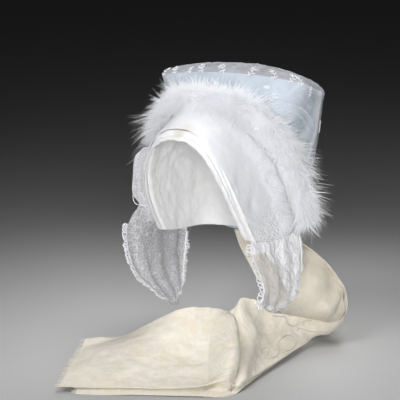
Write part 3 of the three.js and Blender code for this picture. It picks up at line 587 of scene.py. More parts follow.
class Tree:
    """A short way to write node trees"""

    def __init__(self, name, color, roughness, sheen=0.0, specular=0.3):
        self.material = bpy.data.materials.new(name)
        self.material.use_nodes = True
        self.nodes = self.material.node_tree.nodes
        self.links = self.material.node_tree.links
        self.base = color
        self.shader = self.nodes["Principled BSDF"]
        self.shader.inputs["Base Color"].default_value = (*color, 1)
        self.shader.inputs["Roughness"].default_value = roughness
        self.shader.inputs["Specular IOR Level"].default_value = specular
        self.shader.inputs["Sheen Weight"].default_value = sheen
        self.shader.inputs["Sheen Roughness"].default_value = 0.5

    def node(self, kind, inputs=None, **settings):
        made = self.nodes.new(f"ShaderNode{kind}")
        for key, value in settings.items():
            setattr(made, key, value)
        for key, value in (inputs or {}).items():
            if isinstance(value, bpy.types.NodeSocket):
                self.links.new(value, made.inputs[key])
            else:
                made.inputs[key].default_value = value
        return made

    def math(self, operation, a, b=0.0, clamp=False):
        return self.node("Math", {0: a, 1: b}, operation=operation, use_clamp=clamp).outputs[0]

    def times(self, a, b):
        return self.math("MULTIPLY", a, b)

    def ramp(self, value, low, high, out_low=0.0, out_high=1.0):
        inputs = {"Value": value, "From Min": low, "From Max": high, "To Min": out_low, "To Max": out_high}
        return self.node("MapRange", inputs, interpolation_type="SMOOTHSTEP").outputs["Result"]

    def flat(self):
        return self.node("Attribute", attribute_name="flat").outputs["Vector"]

    def shade(self):
        return self.node("Attribute", attribute_name="shade").outputs["Fac"]

    def place(self):
        """Place in the frame, in millimetres"""
        scale = {"Vector": self.node("TexCoord").outputs["Object"], "Scale": 1 / MM}
        return self.node("VectorMath", scale, operation="SCALE").outputs["Vector"]

    def noise(self, vector, size, detail=3.0, distortion=0.0):
        inputs = {"Vector": vector, "Scale": 1 / size, "Detail": detail, "Distortion": distortion}
        return self.node("TexNoise", inputs).outputs["Fac"]

    def patches(self, vector, size, detail, low, high, out_low=0.0, out_high=1.0, distortion=0.0):
        """Noise that is out_low under low, and out_high over high"""
        return self.ramp(self.noise(vector, size, detail, distortion), low, high, out_low, out_high)

    def spots(self, vector, size, low, high, randomness, feature="F1"):
        """1 at the middle of each random cell, or with DISTANCE_TO_EDGE at its edge, and 0 further off"""
        inputs = {"Vector": vector, "Scale": 1 / size, "Randomness": randomness}
        distance = self.node("TexVoronoi", inputs, feature=feature).outputs["Distance"]
        return self.ramp(distance, low, high, 1.0, 0.0)

    def threads(self, vector, pitch, direction, distortion=0.6):
        """Threads at a pitch in millimetres that follow each other along X or Y"""
        inputs = {"Vector": vector, "Scale": WAVE_SCALE / pitch, "Distortion": distortion, "Detail": 1.0}
        return self.node("TexWave", inputs, wave_type="BANDS", bands_direction=direction).outputs["Fac"]

    def weave(self, vector, pitch):
        """Warp and weft threads"""
        return self.math("MAXIMUM", *(self.threads(vector, pitch, direction) for direction in "XY"))

    def near(self, vector, centre, radius):
        """A soft spot: 1 at its centre and 0 beyond its radius, all in millimetres"""
        inputs = {0: vector, 1: centre}
        distance = self.node("VectorMath", inputs, operation="DISTANCE").outputs["Value"]
        return self.ramp(distance, 0.0, radius, 1.0, 0.0)

    def mix(self, factor, a, b):
        made = self.node("Mix", data_type="RGBA")
        for key, value in (("Factor", factor), ("A", a), ("B", b)):
            socket = next(i for i in made.inputs if i.name == key and i.enabled)
            if isinstance(value, bpy.types.NodeSocket):
                self.links.new(value, socket)
            else:
                socket.default_value = value if key == "Factor" else (*value, 1)
        return next(o for o in made.outputs if o.enabled)

    def paint(self, factor, a, b):
        self.links.new(self.mix(factor, a, b), self.shader.inputs["Base Color"])

    def bump(self, height, strength, distance, under=None):
        inputs = {"Height": height, "Strength": strength, "Distance": distance * MM}
        if under is not None:
            inputs["Normal"] = under
        normal = self.node("Bump", inputs).outputs["Normal"]
        self.links.new(normal, self.shader.inputs["Normal"])
        return normal

    def thin(self, through, cover=None, color=None):
        """Thin cloth: a share of the light goes through it, and where cover is low, one sees past it"""
        glow = self.node("BsdfTranslucent", {"Color": (*(color or self.base), 1)}).outputs[0]
        seen = self.node("MixShader", {0: through, 1: self.shader.outputs[0], 2: glow}).outputs[0]
        if cover is not None:
            clear = self.node("BsdfTransparent").outputs[0]
            seen = self.node("MixShader", {0: cover, 1: clear, 2: seen}).outputs[0]
        self.links.new(seen, self.nodes["Material Output"].inputs["Surface"])
        return self.material


def linen_material():
    tree = Tree("linen", (0.86, 0.85, 0.84), 0.85, sheen=0.2)
    place = tree.place()
    tint = tree.mix(tree.patches(place, 22, 4, 0.4, 0.75), (0.92, 0.92, 0.93), (0.86, 0.85, 0.84))
    stain = tree.near(place, (2, -55, -10), 16)
    tree.paint(tree.times(stain, 0.6), tint, (0.66, 0.6, 0.48))
    soft = tree.bump(tree.noise(place, 5, 4), 0.35, 1.2)
    tree.bump(tree.weave(tree.flat(), 0.6), 0.3, 0.12, soft)
    return tree.thin(0.2)


# Where the panel is worked as lace, next to the near lappet: centre and reach in millimetres
LACE_PLACE = (88, 62, -172)
LACE_REACH = 78


def batiste_material():
    tree = Tree("batiste", (0.92, 0.92, 0.95), 0.8, sheen=0.3)
    flat = tree.flat()
    place = tree.place()
    tint = tree.mix(tree.patches(place, 26, 3, 0.35, 0.7), (0.94, 0.94, 0.96), (0.88, 0.89, 0.93))
    stain = tree.near(place, (14, -52, -4), 20)
    stained = tree.mix(tree.times(stain, 0.45), tint, (0.76, 0.71, 0.6))
    spot = tree.near(place, (-2, -49, 0), 3)
    spotted = tree.mix(tree.times(spot, 0.6), stained, (0.2, 0.2, 0.2))
    lace = tree.near(place, LACE_PLACE, LACE_REACH)
    tree.paint(lace, spotted, (0.99, 0.99, 1.0))
    soft = tree.bump(tree.noise(place, 9, 5), 0.5, 2.0)
    dotted = tree.bump(tree.spots(flat, 2.6, 0.15, 0.45, 0.35), 0.25, 0.25, soft)
    knots = tree.spots(flat, 5.5, 0.1, 0.6, 0.8)
    puckered = tree.bump(tree.times(knots, lace), 0.9, 2.0, dotted)
    tree.bump(tree.weave(flat, 0.5), 0.25, 0.1, puckered)
    return tree.thin(0.25)


# Centres and reaches of the painted shadows on the silk's near side
SILK_SHADOWS = (((121, 108, 27), 14), ((111, 97, 2), 24))


def silk_material():
    """Pale blue silk, with painted shade where it turns to the sides and painted shadows on its near side"""
    tree = Tree("blue_silk", (0.62, 0.72, 0.78), 0.6, sheen=0.25, specular=0.25)
    place = tree.place()
    front = tree.mix(tree.patches(place, 30, 4, 0.35, 0.7), (0.52, 0.585, 0.645), (0.44, 0.515, 0.58))
    # Painted shade: the sides' darker, patchier colours stand for the sides turned away from the lamps
    side = tree.mix(tree.patches(place, 14, 3, 0.42, 0.62), (0.56, 0.62, 0.67), (0.36, 0.44, 0.49))
    # Painted shadows, dark teal, at these places on the near side
    painted_shadow = tree.math("MAXIMUM", *(tree.near(place, *shadow) for shadow in SILK_SHADOWS))
    tree.paint(tree.times(painted_shadow, 0.8), tree.mix(tree.shade(), front, side), (0.14, 0.25, 0.29))
    soft = tree.bump(tree.noise(place, 12, 4), 0.35, 1.5)
    tree.bump(tree.weave(place, 0.4), 0.1, 0.06, soft)
    return tree.material


def net_material():
    """Fine net: shade says how closely it is gathered"""
    tree = Tree("net", (0.86, 0.87, 0.92), 0.75, sheen=0.2)
    place = tree.place()
    thread = tree.spots(place, 1.6, 0.03, 0.09, 0.5, "DISTANCE_TO_EDGE")
    veil = tree.patches(place, 8, 4, 0.42, 0.7, 0.0, 0.22, 1.0)
    body = tree.math("ADD", tree.shade(), tree.times(veil, tree.shade()))
    tree.bump(thread, 0.3, 0.2)
    return tree.thin(0.35, tree.math("MAXIMUM", tree.times(thread, 0.55), body, clamp=True))


def thread_material(name="white_thread", color=(0.92, 0.92, 0.95)):
    tree = Tree(name, color, 0.7, sheen=0.3)
    place = tree.place()
    tree.paint(tree.noise(place, 4, 2), tuple(0.86 * c for c in color), color)
    tree.bump(tree.noise(place, 0.5, 2), 0.5, 0.2)
    return tree.thin(0.15)


def fur_material():
    light = (0.98, 0.985, 1.0)
    tree = Tree("fur_strands", light, 0.6, sheen=0.5)
    tree.paint(tree.patches(tree.place(), 16, 3, 0.3, 0.75), light, (0.955, 0.965, 0.985))
    return tree.thin(0.45)


def down_material():
    """The soft ground of down under the strands"""
    tree = Tree("down", (0.9, 0.9, 0.94), 0.9, sheen=0.6)
    light = (0.95, 0.95, 0.97)
    streak = tree.noise(tree.place(), 3, 5, 1.5)
    tree.paint(tree.ramp(streak, 0.3, 0.6), (0.84, 0.85, 0.91), light)
    tree.bump(streak, 0.6, 2.0)
    return tree.thin(0.3, color=light)


def lace_material(name, dot, vine, ground_and_painted_light, relief=0.9, through=0.3):
    """Net with a dense, dotted lace ground where the shade is high"""
    tree = Tree(name, (0.93, 0.93, 0.96), 0.75, sheen=0.2)
    flat = tree.flat()
    thread = tree.spots(flat, 1.1, 0.04, 0.12, 0.4, "DISTANCE_TO_EDGE")
    dots = tree.spots(flat, dot, 0.24, 0.4, 0.75)
    vines = tree.spots(flat, vine, 0.04, 0.1, 0.9, "DISTANCE_TO_EDGE")
    motif = tree.times(tree.math("MAXIMUM", dots, vines), tree.ramp(tree.shade(), 0.25, 0.7))
    dense = tree.math("ADD", tree.times(motif, 0.35), tree.times(tree.shade(), 0.9))
    # The ground colour carries painted light: lighter on the lit near lappet, darker on the shaded far one
    tree.paint(motif, ground_and_painted_light, (0.98, 0.98, 1.0))
    raised = tree.bump(motif, relief, 1.2)
    tree.bump(thread, 0.3, 0.2, raised)
    return tree.thin(through, tree.math("MAXIMUM", dense, tree.times(thread, 0.6), clamp=True))


# Stretches in millimetres along the ribbon where the watered lines come and go
WATER_COMES = (300, 370)
WATER_GOES = (520, 570)


def ribbon_material():
    """Cream ribbed silk, woven with white leaves and watered next to the deep crease"""
    tree = Tree("ribbon_silk", (0.84, 0.78, 0.67), 0.5, sheen=0.2, specular=0.3)
    flat = tree.flat()
    place = tree.place()

    def outline(value, width):
        away = tree.math("ABSOLUTE", tree.math("SUBTRACT", value, 0.5))
        return tree.ramp(away, 0.01, width, 1.0, 0.0)

    leaf = tree.noise(flat, 24, 2, 2.6)
    figure = outline(leaf, 0.035)
    field = tree.ramp(leaf, 0.49, 0.54)
    veins = tree.times(outline(tree.noise(flat, 8, 1, 2.5), 0.05), field)
    along = tree.node("SeparateXYZ", {"Vector": flat}).outputs["Y"]
    zone = tree.times(tree.ramp(along, *WATER_COMES), tree.ramp(along, *WATER_GOES, 1.0, 0.0))
    waves = tree.math("SINE", tree.times(tree.noise(flat, 60, 1, 0.6), 95.0))
    water = tree.times(tree.ramp(waves, 0.0, 0.9), zone)
    shown = tree.mix(tree.patches(place, 45, 3, 0.35, 0.7), (0.89, 0.84, 0.73), (0.86, 0.79, 0.66))
    for part, strength, color in (
        (field, 0.45, (0.94, 0.92, 0.87)),
        (veins, 0.2, (0.8, 0.73, 0.6)),
        (figure, 0.16, (0.76, 0.69, 0.56)),
        (water, 0.4, (0.74, 0.67, 0.53)),
    ):
        shown = tree.mix(tree.times(part, strength), shown, color)
    tree.paint(tree.patches(place, 10, 5, 0.6, 0.75, 0.0, 0.2), shown, (0.72, 0.63, 0.47))
    soft = tree.bump(tree.noise(place, 14, 5), 0.5, 2.2)
    figured = tree.bump(tree.math("ADD", figure, tree.math("ADD", veins, water)), 0.3, 0.35, soft)
    tree.bump(tree.threads(flat, 1.1, "Y", 0.8), 0.3, 0.18, figured)
    return tree.thin(0.16, color=(0.92, 0.8, 0.58))


# Under-cap
EDGE_FOLD = {"reach": 5, "width": 2.1, "height": 1.7}
TUCKED_FOLD = {"reach": 14.5, "width": 3.6, "share": 0.65}
CAP_THICKNESS = 0.8
PANEL_THICKNESS = 0.9
# Width, pitch and thread of the narrow edging along the face edge
EDGING = (2.2, 2.6, 0.35)


def hood_folds(grid, turn):
    """Two soft folds behind the face edge. The second one fills the space up to the panel's edge."""
    reach = np.linalg.norm(grid - grid[:1], axis=-1)
    row = np.argmin(np.abs(reach - TUCKED_FOLD["reach"]), axis=0)
    crest = grid[row, np.arange(grid.shape[1])]
    room = np.linalg.norm(panel_point(0 * turn[0], turn[0]) - crest, axis=-1) * TUCKED_FOLD["share"]
    edge = EDGE_FOLD["height"] * bell(reach - EDGE_FOLD["reach"], EDGE_FOLD["width"])
    return edge + room * bell(reach - TUCKED_FOLD["reach"], TUCKED_FOLD["width"])


def moved_outward(grid, relief):
    """A grid over the head, moved outward by a relief. Its middle looks up."""
    rows, columns = grid.shape[:2]
    normal = normals_of(grid)
    outward = np.sign(normal[rows // 2, columns // 2, 2])
    return grid + normal * (outward * relief)[..., None]


def make_under_cap(linen, thread):
    t, s = shares(100, 150)
    turn = 2 * s - 1
    grid = hoop_point(CAP_HOOPS, t**1.8, turn)
    wrinkle = 1.3 * bumps(grid, 24, 1) * smooth(0, 0.1, t) + 0.8 * bumps(grid, 9, 17) * smooth(0, 0.05, t)
    grid = moved_outward(grid, hood_folds(grid, turn) + wrinkle)
    cap = cloth("under_cap_linen", grid, CAP_THICKNESS)
    finish_piece(cap, linen, replaces=["under_cap"])
    lace = build_mesh("under_cap_edging", *edge_loops(grid[0], grid[0] - grid[2], *EDGING))
    finish_piece(lace, thread)


def edge_loops(path, outward, width, pitch, radius, curl=0.8, steps=10, seed=70):
    """An uneven curled thread along an edge, as on looped edging, on top of a plain thread"""
    random = np.random.default_rng(seed)
    lengths = run_lengths(path)
    count = max(int(lengths[-1] / pitch), 2)
    phase = np.linspace(0, count, count * steps + 1)
    each = np.arange(count + 1)
    reach = np.interp(phase, each, random.uniform(0.65, 1.2, count + 1))
    shift = np.interp(phase, each, random.uniform(-0.35, 0.35, count + 1))
    at = (phase + shift) / count * lengths[-1] + curl * pitch / 2 * np.sin(phase * 2 * np.pi)
    at = np.clip(at, 0, lengths[-1])
    way = unit(outward)
    p = along_line(at, lengths, path)
    w = unit(along_line(at, lengths, way))
    swing = (0.5 - 0.5 * np.cos(phase * 2 * np.pi)) * reach
    normal = unit(np.cross(np.gradient(p, axis=0) + 1e-6, w))
    twist = radius * (1.4 * np.sin(phase * 2 * np.pi) + 2.0 * shift * swing)
    loops = p + w * (width * swing)[:, None] + normal * twist[:, None]
    return joined([tube_parts(loops, radius, 5), tube_parts(path, radius * 1.2, 5)])


# Front panel
PANEL_DENTS = (
    # share of the way back, turn from the wearer's right (-1) to the left (1), radius, depth
    (0.333, 0.834, 9, 2.6),
    (0.24, 0.7, 14, 1.2),
    (0.45, -0.82, 11, 2.2),
    (0.55, 0.55, 22, 1.2),
    (0.3, -0.5, 20, 1.0),
)
PANEL_CREASES = (
    # from share, turn, to share, turn, width, depth
    (0.69, 0.74, 0.8, 0.9, 3.2, 3.0),
    (0.05, 0.9, 0.4, 0.97, 3.0, 1.2),
    (0.66, -0.78, 0.8, -0.9, 3.2, 2.4),
    (0.02, 0.3, 0.14, 0.75, 3.5, 1.0),
)


def segment_distance(grid, a, b):
    """Distance of each place of a grid from the straight line between two points"""
    way = b - a
    along = np.clip(((grid - a) @ way) / (way @ way), 0, 1)
    return np.linalg.norm(grid - (a + along[..., None] * way), axis=-1)


def make_front_panel(batiste):
    t, s = shares(70, 170)
    grid = panel_point(t, 2 * s - 1)
    relief = 0.7 * bumps(grid, 30, 2)
    for share, turn, radius, depth in PANEL_DENTS:
        relief -= depth * bell(np.linalg.norm(grid - panel_point(share, turn), axis=-1), radius)
    for share, turn, share_to, turn_to, width, depth in PANEL_CREASES:
        away = segment_distance(grid, panel_point(share, turn), panel_point(share_to, turn_to)) / width
        relief += depth * (0.7 * bell(away - 1.3, 1) - bell(away, 1))
    grid = moved_outward(grid, relief * smooth(0, 0.04, t))
    panel = cloth("front_panel_batiste", grid, PANEL_THICKNESS)
    finish_piece(panel, batiste, replaces=["front_panel"])


# Crown
SILK_THICKNESS = 1.2


def even_turns(columns):
    """Turns round the crown that lie at even distances near its rim"""
    w = np.linspace(0, 1, 2000)
    front = 0.25 * w**4 / (w**4 + (1 - w) ** 4)
    turns = np.concatenate([front, np.linspace(0.25, 0.75, 3000)[1:-1], 1 - front[::-1]])
    ring = ring_point(0 * turns + 0.8, turns)
    lengths = run_lengths(ring)
    return np.interp(np.linspace(0, lengths[-1], columns, endpoint=False), lengths, turns)


def crown_shares(rows, columns):
    """Shares up the crown, turns round it, and the share of its girth between each place and the front"""
    t, turn = np.meshgrid(np.linspace(0, 1, rows), even_turns(columns), indexing="ij")
    girth = np.linspace(0, 1, columns, endpoint=False) + 0 * t
    return t, turn, np.minimum(girth, 1 - girth)


def make_crown_form(silk):
    t, turn, aside = crown_shares(40, 240)
    grid = ring_point(t, turn)
    normal = normals_of(grid, closed=True)
    fold = 0.8 * bumps(grid, 22, 3) + 0.5 * bumps(grid * np.array([1, 1, 0.25]), 9, 4)
    grid = grid + normal * (fold * np.sin(np.pi * t))[..., None]
    # Painted shade mask: 1 on the crown's sides, where the silk takes its darker side colours
    shade = smooth(0.16, 0.225, aside) * smooth(0.45, 0.33, aside)
    drum = cloth("crown_silk", grid, SILK_THICKNESS, closed=True, shade=shade)
    finish_piece(drum, silk, replaces=["crown_form"])


# The way out of the crown's rim
CROWN_AXIS = unit(np.array([0, CROWN_BACK_DROP, CROWN_DEPTH], float))
# Gathers of the net: a run of places (share of the way up, turn), width in millimetres and strength
NET_GATHERS = (
    (((0.49, 0.16), (0.58, 0.231), (0.6, 0.249), (0.61, 0.264)), 1.7, 0.8),
    (((0.4, 0.17), (0.49, 0.235), (0.5, 0.265)), 1.5, 0.5),
    (((0.7, 0.15), (0.74, 0.21), (0.7, 0.25)), 1.3, 0.35),
    (((1.0, 0.272), (0.86, 0.276), (0.56, 0.286), (0.38, 0.277), (0.15, 0.27)), 5.5, 0.65),
    (((1.0, 0.15), (0.8, 0.135), (0.6, 0.115)), 4.0, 0.22),
    (((1.0, 0.85), (0.75, 0.83), (0.5, 0.8)), 2.2, 0.5),
    (((1.0, 0.4), (0.6, 0.41), (0.2, 0.44)), 3.5, 0.4),
    (((1.0, 0.57), (0.6, 0.56), (0.15, 0.53)), 3.0, 0.4),
    (((0.95, 0.7), (0.6, 0.71), (0.25, 0.67)), 3.5, 0.4),
)


def gathers(grid):
    """How far each place of the net is drawn into a gather, from 0 to about 1"""
    drawn = np.zeros(grid.shape[:-1])
    for run, width, strength in NET_GATHERS:
        stops = [ring_point(*place) for place in run]
        for a, b in zip(stops, stops[1:]):
            drawn = np.maximum(drawn, strength * bell(segment_distance(grid, a, b), width))
    return drawn


def net_surface(t, turn):
    """The net over the drum, with folds that fan from its corners and round its back

    Returns its grid, the crests of its folds and how far it is drawn into gathers."""
    stand = (FORM_WALL + NET_WALL) / 2 + SEAM_GAP
    grid = ring_point(t, turn)
    normal = normals_of(grid, closed=True)
    aside = np.minimum(turn, 1 - turn)
    side = smooth(0.1, 0.17, aside)
    wander = 0.35 * bumps(grid, 60, 5)
    phase = turn * NET_FOLD_COUNT * 2.2 + wander * 3.2 + 0.9 * t * np.sign(turn - 0.5)
    ridge = (1 - np.abs((phase % 1) * 2 - 1)) * smooth(-0.2, 0.5, bumps(grid, 45, 15))
    drawn = gathers(grid)
    folds = side * (0.5 + 1.6 * ridge**2.2) * np.sin(t * np.pi / 2) + 2.6 * drawn
    front = (1 - side) * (0.4 + 0.4 * bumps(grid, 16, 6))
    return grid + normal * (stand + folds + front)[..., None], ridge * side, drawn


def make_crown_net(net, thread):
    t, turn, aside = crown_shares(44, 300)
    sides, ridge, drawn = net_surface(t, turn)
    rim = sides[-1]
    centre = (rim[0] + rim[len(rim) // 2]) / 2
    angle = np.linspace(0, np.pi / 2, 26)[1:]
    lift = RIM_ROLL + NET_DOME * np.sin(angle)
    shrink = np.maximum(np.cos(angle), 0.01) ** DOME_SHOULDER
    dome = centre + (rim[None] - centre) * shrink[:, None, None] + CROWN_AXIS * lift[:, None, None]
    inward = np.sin(angle)[:, None]
    gather = bumps(dome * np.array([1, 0.3, 1]), 10, 16) * inward
    dome = dome + CROWN_AXIS * (1.2 * gather + 1.1 * bumps(dome, 24, 7) * inward)[..., None]
    grid = np.concatenate([sides, dome])
    rim_share = (len(sides) - 1) / (len(grid) - 1)
    band = 0.25 * smooth(0.93, 0.99, t)
    gathered = np.clip(0.08 + 0.2 * smooth(0.15, 0.2, aside) + 0.3 * ridge**3 + band + drawn, 0, 0.95)
    shade = np.concatenate([gathered, np.clip(0.36 + 0.4 * gather, 0.08, 0.8)])
    veil = sheer("crown_net_veil", grid, closed=True, shade=shade)
    finish_piece(veil, net, replaces=["crown_net"])
    hem = build_mesh("crown_net_hem", *tube_parts(rim + CROWN_AXIS * 0.4, 0.3, 6, closed=True))
    finish_piece(hem, net)
    sprigs = build_mesh("crown_net_sprigs", *joined(all_sprigs(grid, rim_share)))
    finish_piece(sprigs, thread)


SPRIGS = (
    # share of the way up the crown, share of its girth, size, lean
    (0.92, -0.177, 13, -0.2), (0.9, -0.138, 14, 0.35), (0.9, -0.1, 11, -0.5), (0.92, -0.06, 15, 0.5),
    (0.93, -0.008, 16, 0.7), (0.9, 0.04, 16, -0.5), (0.9, 0.11, 16, 0.5), (0.92, 0.15, 14, -0.3),
    (0.92, 0.18, 13, 0.6), (0.36, 0.155, 16, 0.2), (0.62, 0.13, 10, 1.1),
    (0.8, 0.215, 12, 0.3), (0.6, 0.3, 13, 0.2), (0.85, 0.36, 14, 0.4), (0.5, 0.42, 13, -0.3),
    (0.8, 0.5, 14, 0.2), (0.4, 0.55, 13, 0.5), (0.8, 0.62, 14, -0.4), (0.5, 0.68, 13, 0.3),
    (0.85, 0.74, 14, 0.1), (0.6, 0.8, 13, -0.2),
)
# Knot of the stem where each leaf grows, and its side
SPRIG_LEAVES = ((1, 1), (2, -1), (4, 1), (5, -1), (7, 1), (7, -1), (8, 0))


def all_sprigs(grid, rim_share):
    surface = Surface(grid, closed=True)
    for share, place, size, lean in SPRIGS:
        yield from sprig(surface, share * rim_share, place, size, lean)


def sprig(surface, share, place, size, lean):
    """An embroidered sprig: a bent stem and seven leaves, on the net"""

    def laid(path, stand):
        return surface.at(*surface.walk(share, place, path[:, 0], path[:, 1]), stand)

    turned = np.array([[math.cos(lean), -math.sin(lean)], [math.sin(lean), math.cos(lean)]])
    k = np.linspace(0, 1, 9)
    stem = np.stack([0.12 * size * np.sin(3 * k), size * k], axis=-1) @ turned.T
    yield tube_parts(laid(stem, 0.7), 0.5, 5)
    for knot, side in SPRIG_LEAVES:
        way = turned @ np.array([0.34 * size * side, 0.16 * size + 0.22 * size * (side == 0)])
        along = np.linspace(0, 1, 7)
        leaf = laid(stem[knot] + way * along[:, None], 0.8)
        yield tube_parts(leaf, 0.3 + 0.6 * np.sin(np.pi * (0.08 + 0.84 * along)), 6)


# Fur band
STRAND_POINTS = 6
STRANDS_PER_LOCK = 12
STRANDS = 13000
BORDER_STRANDS = 6000
FUR_SHORT = 12
FUR_LONG = 44
FUR_ROOM = 169
# Share along the band, how long the down is there, how long its few long wisps are, and how thick its core is
FUR_REACHES = (
    (-1.0, 0.8, 0.5, 0.7), (-0.75, 1.5, 1.0, 0.8), (-0.45, 1.5, 0.9, 0.8), (-0.3, 1.4, 0.6, 0.8),
    (0.0, 1.4, 0.7, 0.8), (0.3, 1.3, 0.7, 0.8), (0.45, 1.0, 0.6, 0.78), (0.6, 0.8, 0.9, 0.64),
    (0.8, 0.65, 1.0, 0.5), (0.92, 0.6, 0.8, 0.5), (1.0, 0.4, 0.2, 0.5),
)
# Turn round the panel and the share of its way back where the fur begins
BORDER = (
    (-1.0, 0.8), (-0.6, 0.77), (-0.4, 0.67), (-0.2, 0.53), (0.0, 0.49),
    (0.2, 0.53), (0.4, 0.67), (0.6, 0.77), (1.0, 0.77),
)
# Bundles of strands: name, share along the band from and to, and seed
FUR_BUNDLES = (("right", -1, -0.34, 40), ("top", -0.34, 0.34, 41), ("left", 0.34, 0.92, 42))
BORDER_SEED = 47
# Least and most half width of a strand at its root
STRAND_WIDTHS = (0.2, 0.4)
BORDER_WIDTHS = (0.16, 0.3)


def strand_mesh(name, path, width, random, material):
    """Flat tapered strands from their middle lines"""
    count = len(path)
    u = np.linspace(0, 1, STRAND_POINTS)[None, :, None]
    across = unit(np.cross(unit(np.gradient(path, axis=1)), random.normal(0, 1, (count, 1, 3))))
    width = random.uniform(*width, count)[:, None, None] * (1 - u) ** 0.6
    body = STRAND_POINTS - 1
    pairs = np.stack([(path - across * width)[:, :body], (path + across * width)[:, :body]], axis=2)
    vertices = np.concatenate([pairs.reshape(count, -1, 3), path[:, -1:]], axis=1)
    per = vertices.shape[1]
    first = (np.arange(count) * per)[:, None, None]
    step = np.arange(body - 1)[:, None] * 2
    quads = first + (step + np.array([0, 1, 3, 2]))[None]
    tips = first[:, 0] + np.array([per - 3, per - 2, per - 1])
    thing = build_mesh(name, vertices.reshape(-1, 3), quads.reshape(-1, 4), tips.reshape(-1, 3))
    finish_piece(thing, material)


def fur_strands(name, low, high, seed, material):
    """Strands of down between two shares of the band, gathered in locks"""
    random = np.random.default_rng(seed)
    locks = STRANDS // STRANDS_PER_LOCK
    lock_share = random.uniform(low, high, locks)
    lock_angle = random.uniform(-2.3, 2.0, locks)
    facing = smooth(0.1, 1.3, lock_angle) * smooth(1.0, 0.6, np.abs(lock_share))
    crownward = smooth(0.1, -1.0, lock_angle) * smooth(0.7, 0.4, np.abs(lock_share))
    stops, short, long, _ = np.array(FUR_REACHES).T
    reach = FUR_SHORT * np.interp(lock_share, stops, short) * random.uniform(0.6, 1.5, locks)
    wisp = (FUR_LONG - FUR_SHORT) * np.interp(lock_share, stops, long) * random.random(locks) ** 3
    lock_length = (reach + wisp) * (1 - 0.3 * facing) * (1 - 0.5 * crownward)
    lock_turn = random.normal(0, 0.3, (locks, 3))
    which = random.integers(0, locks, STRANDS)
    share = np.clip(lock_share[which] + random.normal(0, 0.012, STRANDS), -1, 1)
    angle = lock_angle[which] + random.normal(0, 0.14, STRANDS)
    root = fur_point(share, angle, random.uniform(0.8, 1.06, STRANDS) * fur_core(share, angle))
    centre, _, side, outward = fur_frame(share)
    low_end = smooth(0.15, 0.9, np.abs(share))[:, None]
    down = np.array([0, 0, -1.0])
    aside = points(np.sign(share), 0 * share, 0 * share)
    faced = facing[which][:, None]
    radial = unit(root - centre) * (1 - faced) + (side + 0.15 * outward) * faced
    ahead = points(-0.2 + 0 * share, -0.75, 0.0) * smooth(-0.2, -0.5, share)[:, None]
    way = radial + (0.2 * aside + 0.85 * down) * low_end + ahead
    way = unit(way + lock_turn[which] + random.normal(0, 0.2, (STRANDS, 3)))
    length = lock_length[which] * random.uniform(0.6, 1.1, STRANDS)
    bend = down * 0.4 + lock_turn[which][:, ::-1] * 0.7 + random.normal(0, 0.15, (STRANDS, 3))
    u = np.linspace(0, 1, STRAND_POINTS)[None, :, None]
    path = root[:, None] + length[:, None, None] * (way[:, None] * u + bend[:, None] * u**2 * 0.6)
    beyond = np.maximum(np.abs(path[..., 0]).max(axis=1) - np.abs(root[:, 0]), 1e-6)
    room = np.clip((FUR_ROOM - np.abs(root[:, 0])) / beyond, 0, 1)
    path = root[:, None] + (path - root[:, None]) * room[:, None, None]
    strand_mesh(name, path, STRAND_WIDTHS, random, material)


def fur_core(share, angle):
    """Radius of the band's core, as a share of the band's own. It is thinner on the crown's side in front."""
    stops, _, _, core = np.array(FUR_REACHES).T
    crownward = np.maximum(np.cos(angle + 0.7), 0) * smooth(0.6, 0.3, np.abs(share))
    return np.interp(share, stops, core) - 0.22 * crownward


def border_strands(name, seed, material):
    """Down that lies over the panel's edge and hides the seam"""
    random = np.random.default_rng(seed)
    locks = BORDER_STRANDS // STRANDS_PER_LOCK
    which = random.integers(0, locks, BORDER_STRANDS)
    turn = random.uniform(-0.96, 0.96, locks)[which] + random.normal(0, 0.008, BORDER_STRANDS)
    turn = np.clip(turn, -0.99, 0.99)
    stops, places = np.array(BORDER).T
    start = np.interp(turn, stops, places) + random.uniform(0.0, 0.08, locks)[which]
    reach = random.uniform(0.08, 0.26, locks)[which] * random.uniform(0.7, 1.1, BORDER_STRANDS)
    sway = random.normal(0.03, 0.04, locks)[which] * np.sign(turn)
    lift = random.uniform(2, 10, locks)[which] + random.uniform(0, 2, BORDER_STRANDS)
    u = np.linspace(0, 1, STRAND_POINTS)[None, :]
    across = np.clip(turn[:, None] + sway[:, None] * u**2, -0.99, 0.99)
    path = panel_point(start[:, None] - reach[:, None] * u, across)
    head = np.array([0, 0.2 * HEAD_DEPTH, -0.5 * HOOD_HEIGHT])
    rise = 0.9 + lift[:, None] * (1 - u) ** 1.4
    path = path + unit(path - head) * rise[..., None]
    strand_mesh(name, path, BORDER_WIDTHS, random, material)


def make_fur(down, strands):
    t, s = shares(260, 56, closed=True)
    share = 2 * t - 1
    grid = fur_point(share, s * 2 * np.pi, fur_core(share, s * 2 * np.pi))
    centre = fur_centre(share)
    tufts = 0.1 * bumps(grid, 9, 8, 4) + 0.05 * bumps(grid, 3.5, 9, 3)
    grid = centre + (grid - centre) * (1 + tufts)[..., None]
    ends = [centre[0, :1], centre[-1, :1]]
    rows, columns = grid.shape[:2]
    vertices = np.concatenate([grid.reshape(-1, 3), *ends])
    c = np.arange(columns)
    after = (c + 1) % columns
    last = (rows - 1) * columns
    caps = np.concatenate([
        np.stack([after, c, np.full(columns, rows * columns)], axis=-1),
        np.stack([last + c, last + after, np.full(columns, rows * columns + 1)], axis=-1),
    ])
    ground = build_mesh("fur_down", vertices, grid_quads(rows, columns, True), caps)
    finish_piece(ground, down, replaces=["fur_band"])
    for name, low, high, seed in FUR_BUNDLES:
        fur_strands(f"fur_strands_{name}", low, high, seed, strands)
    border_strands("fur_strands_border", BORDER_SEED, strands)


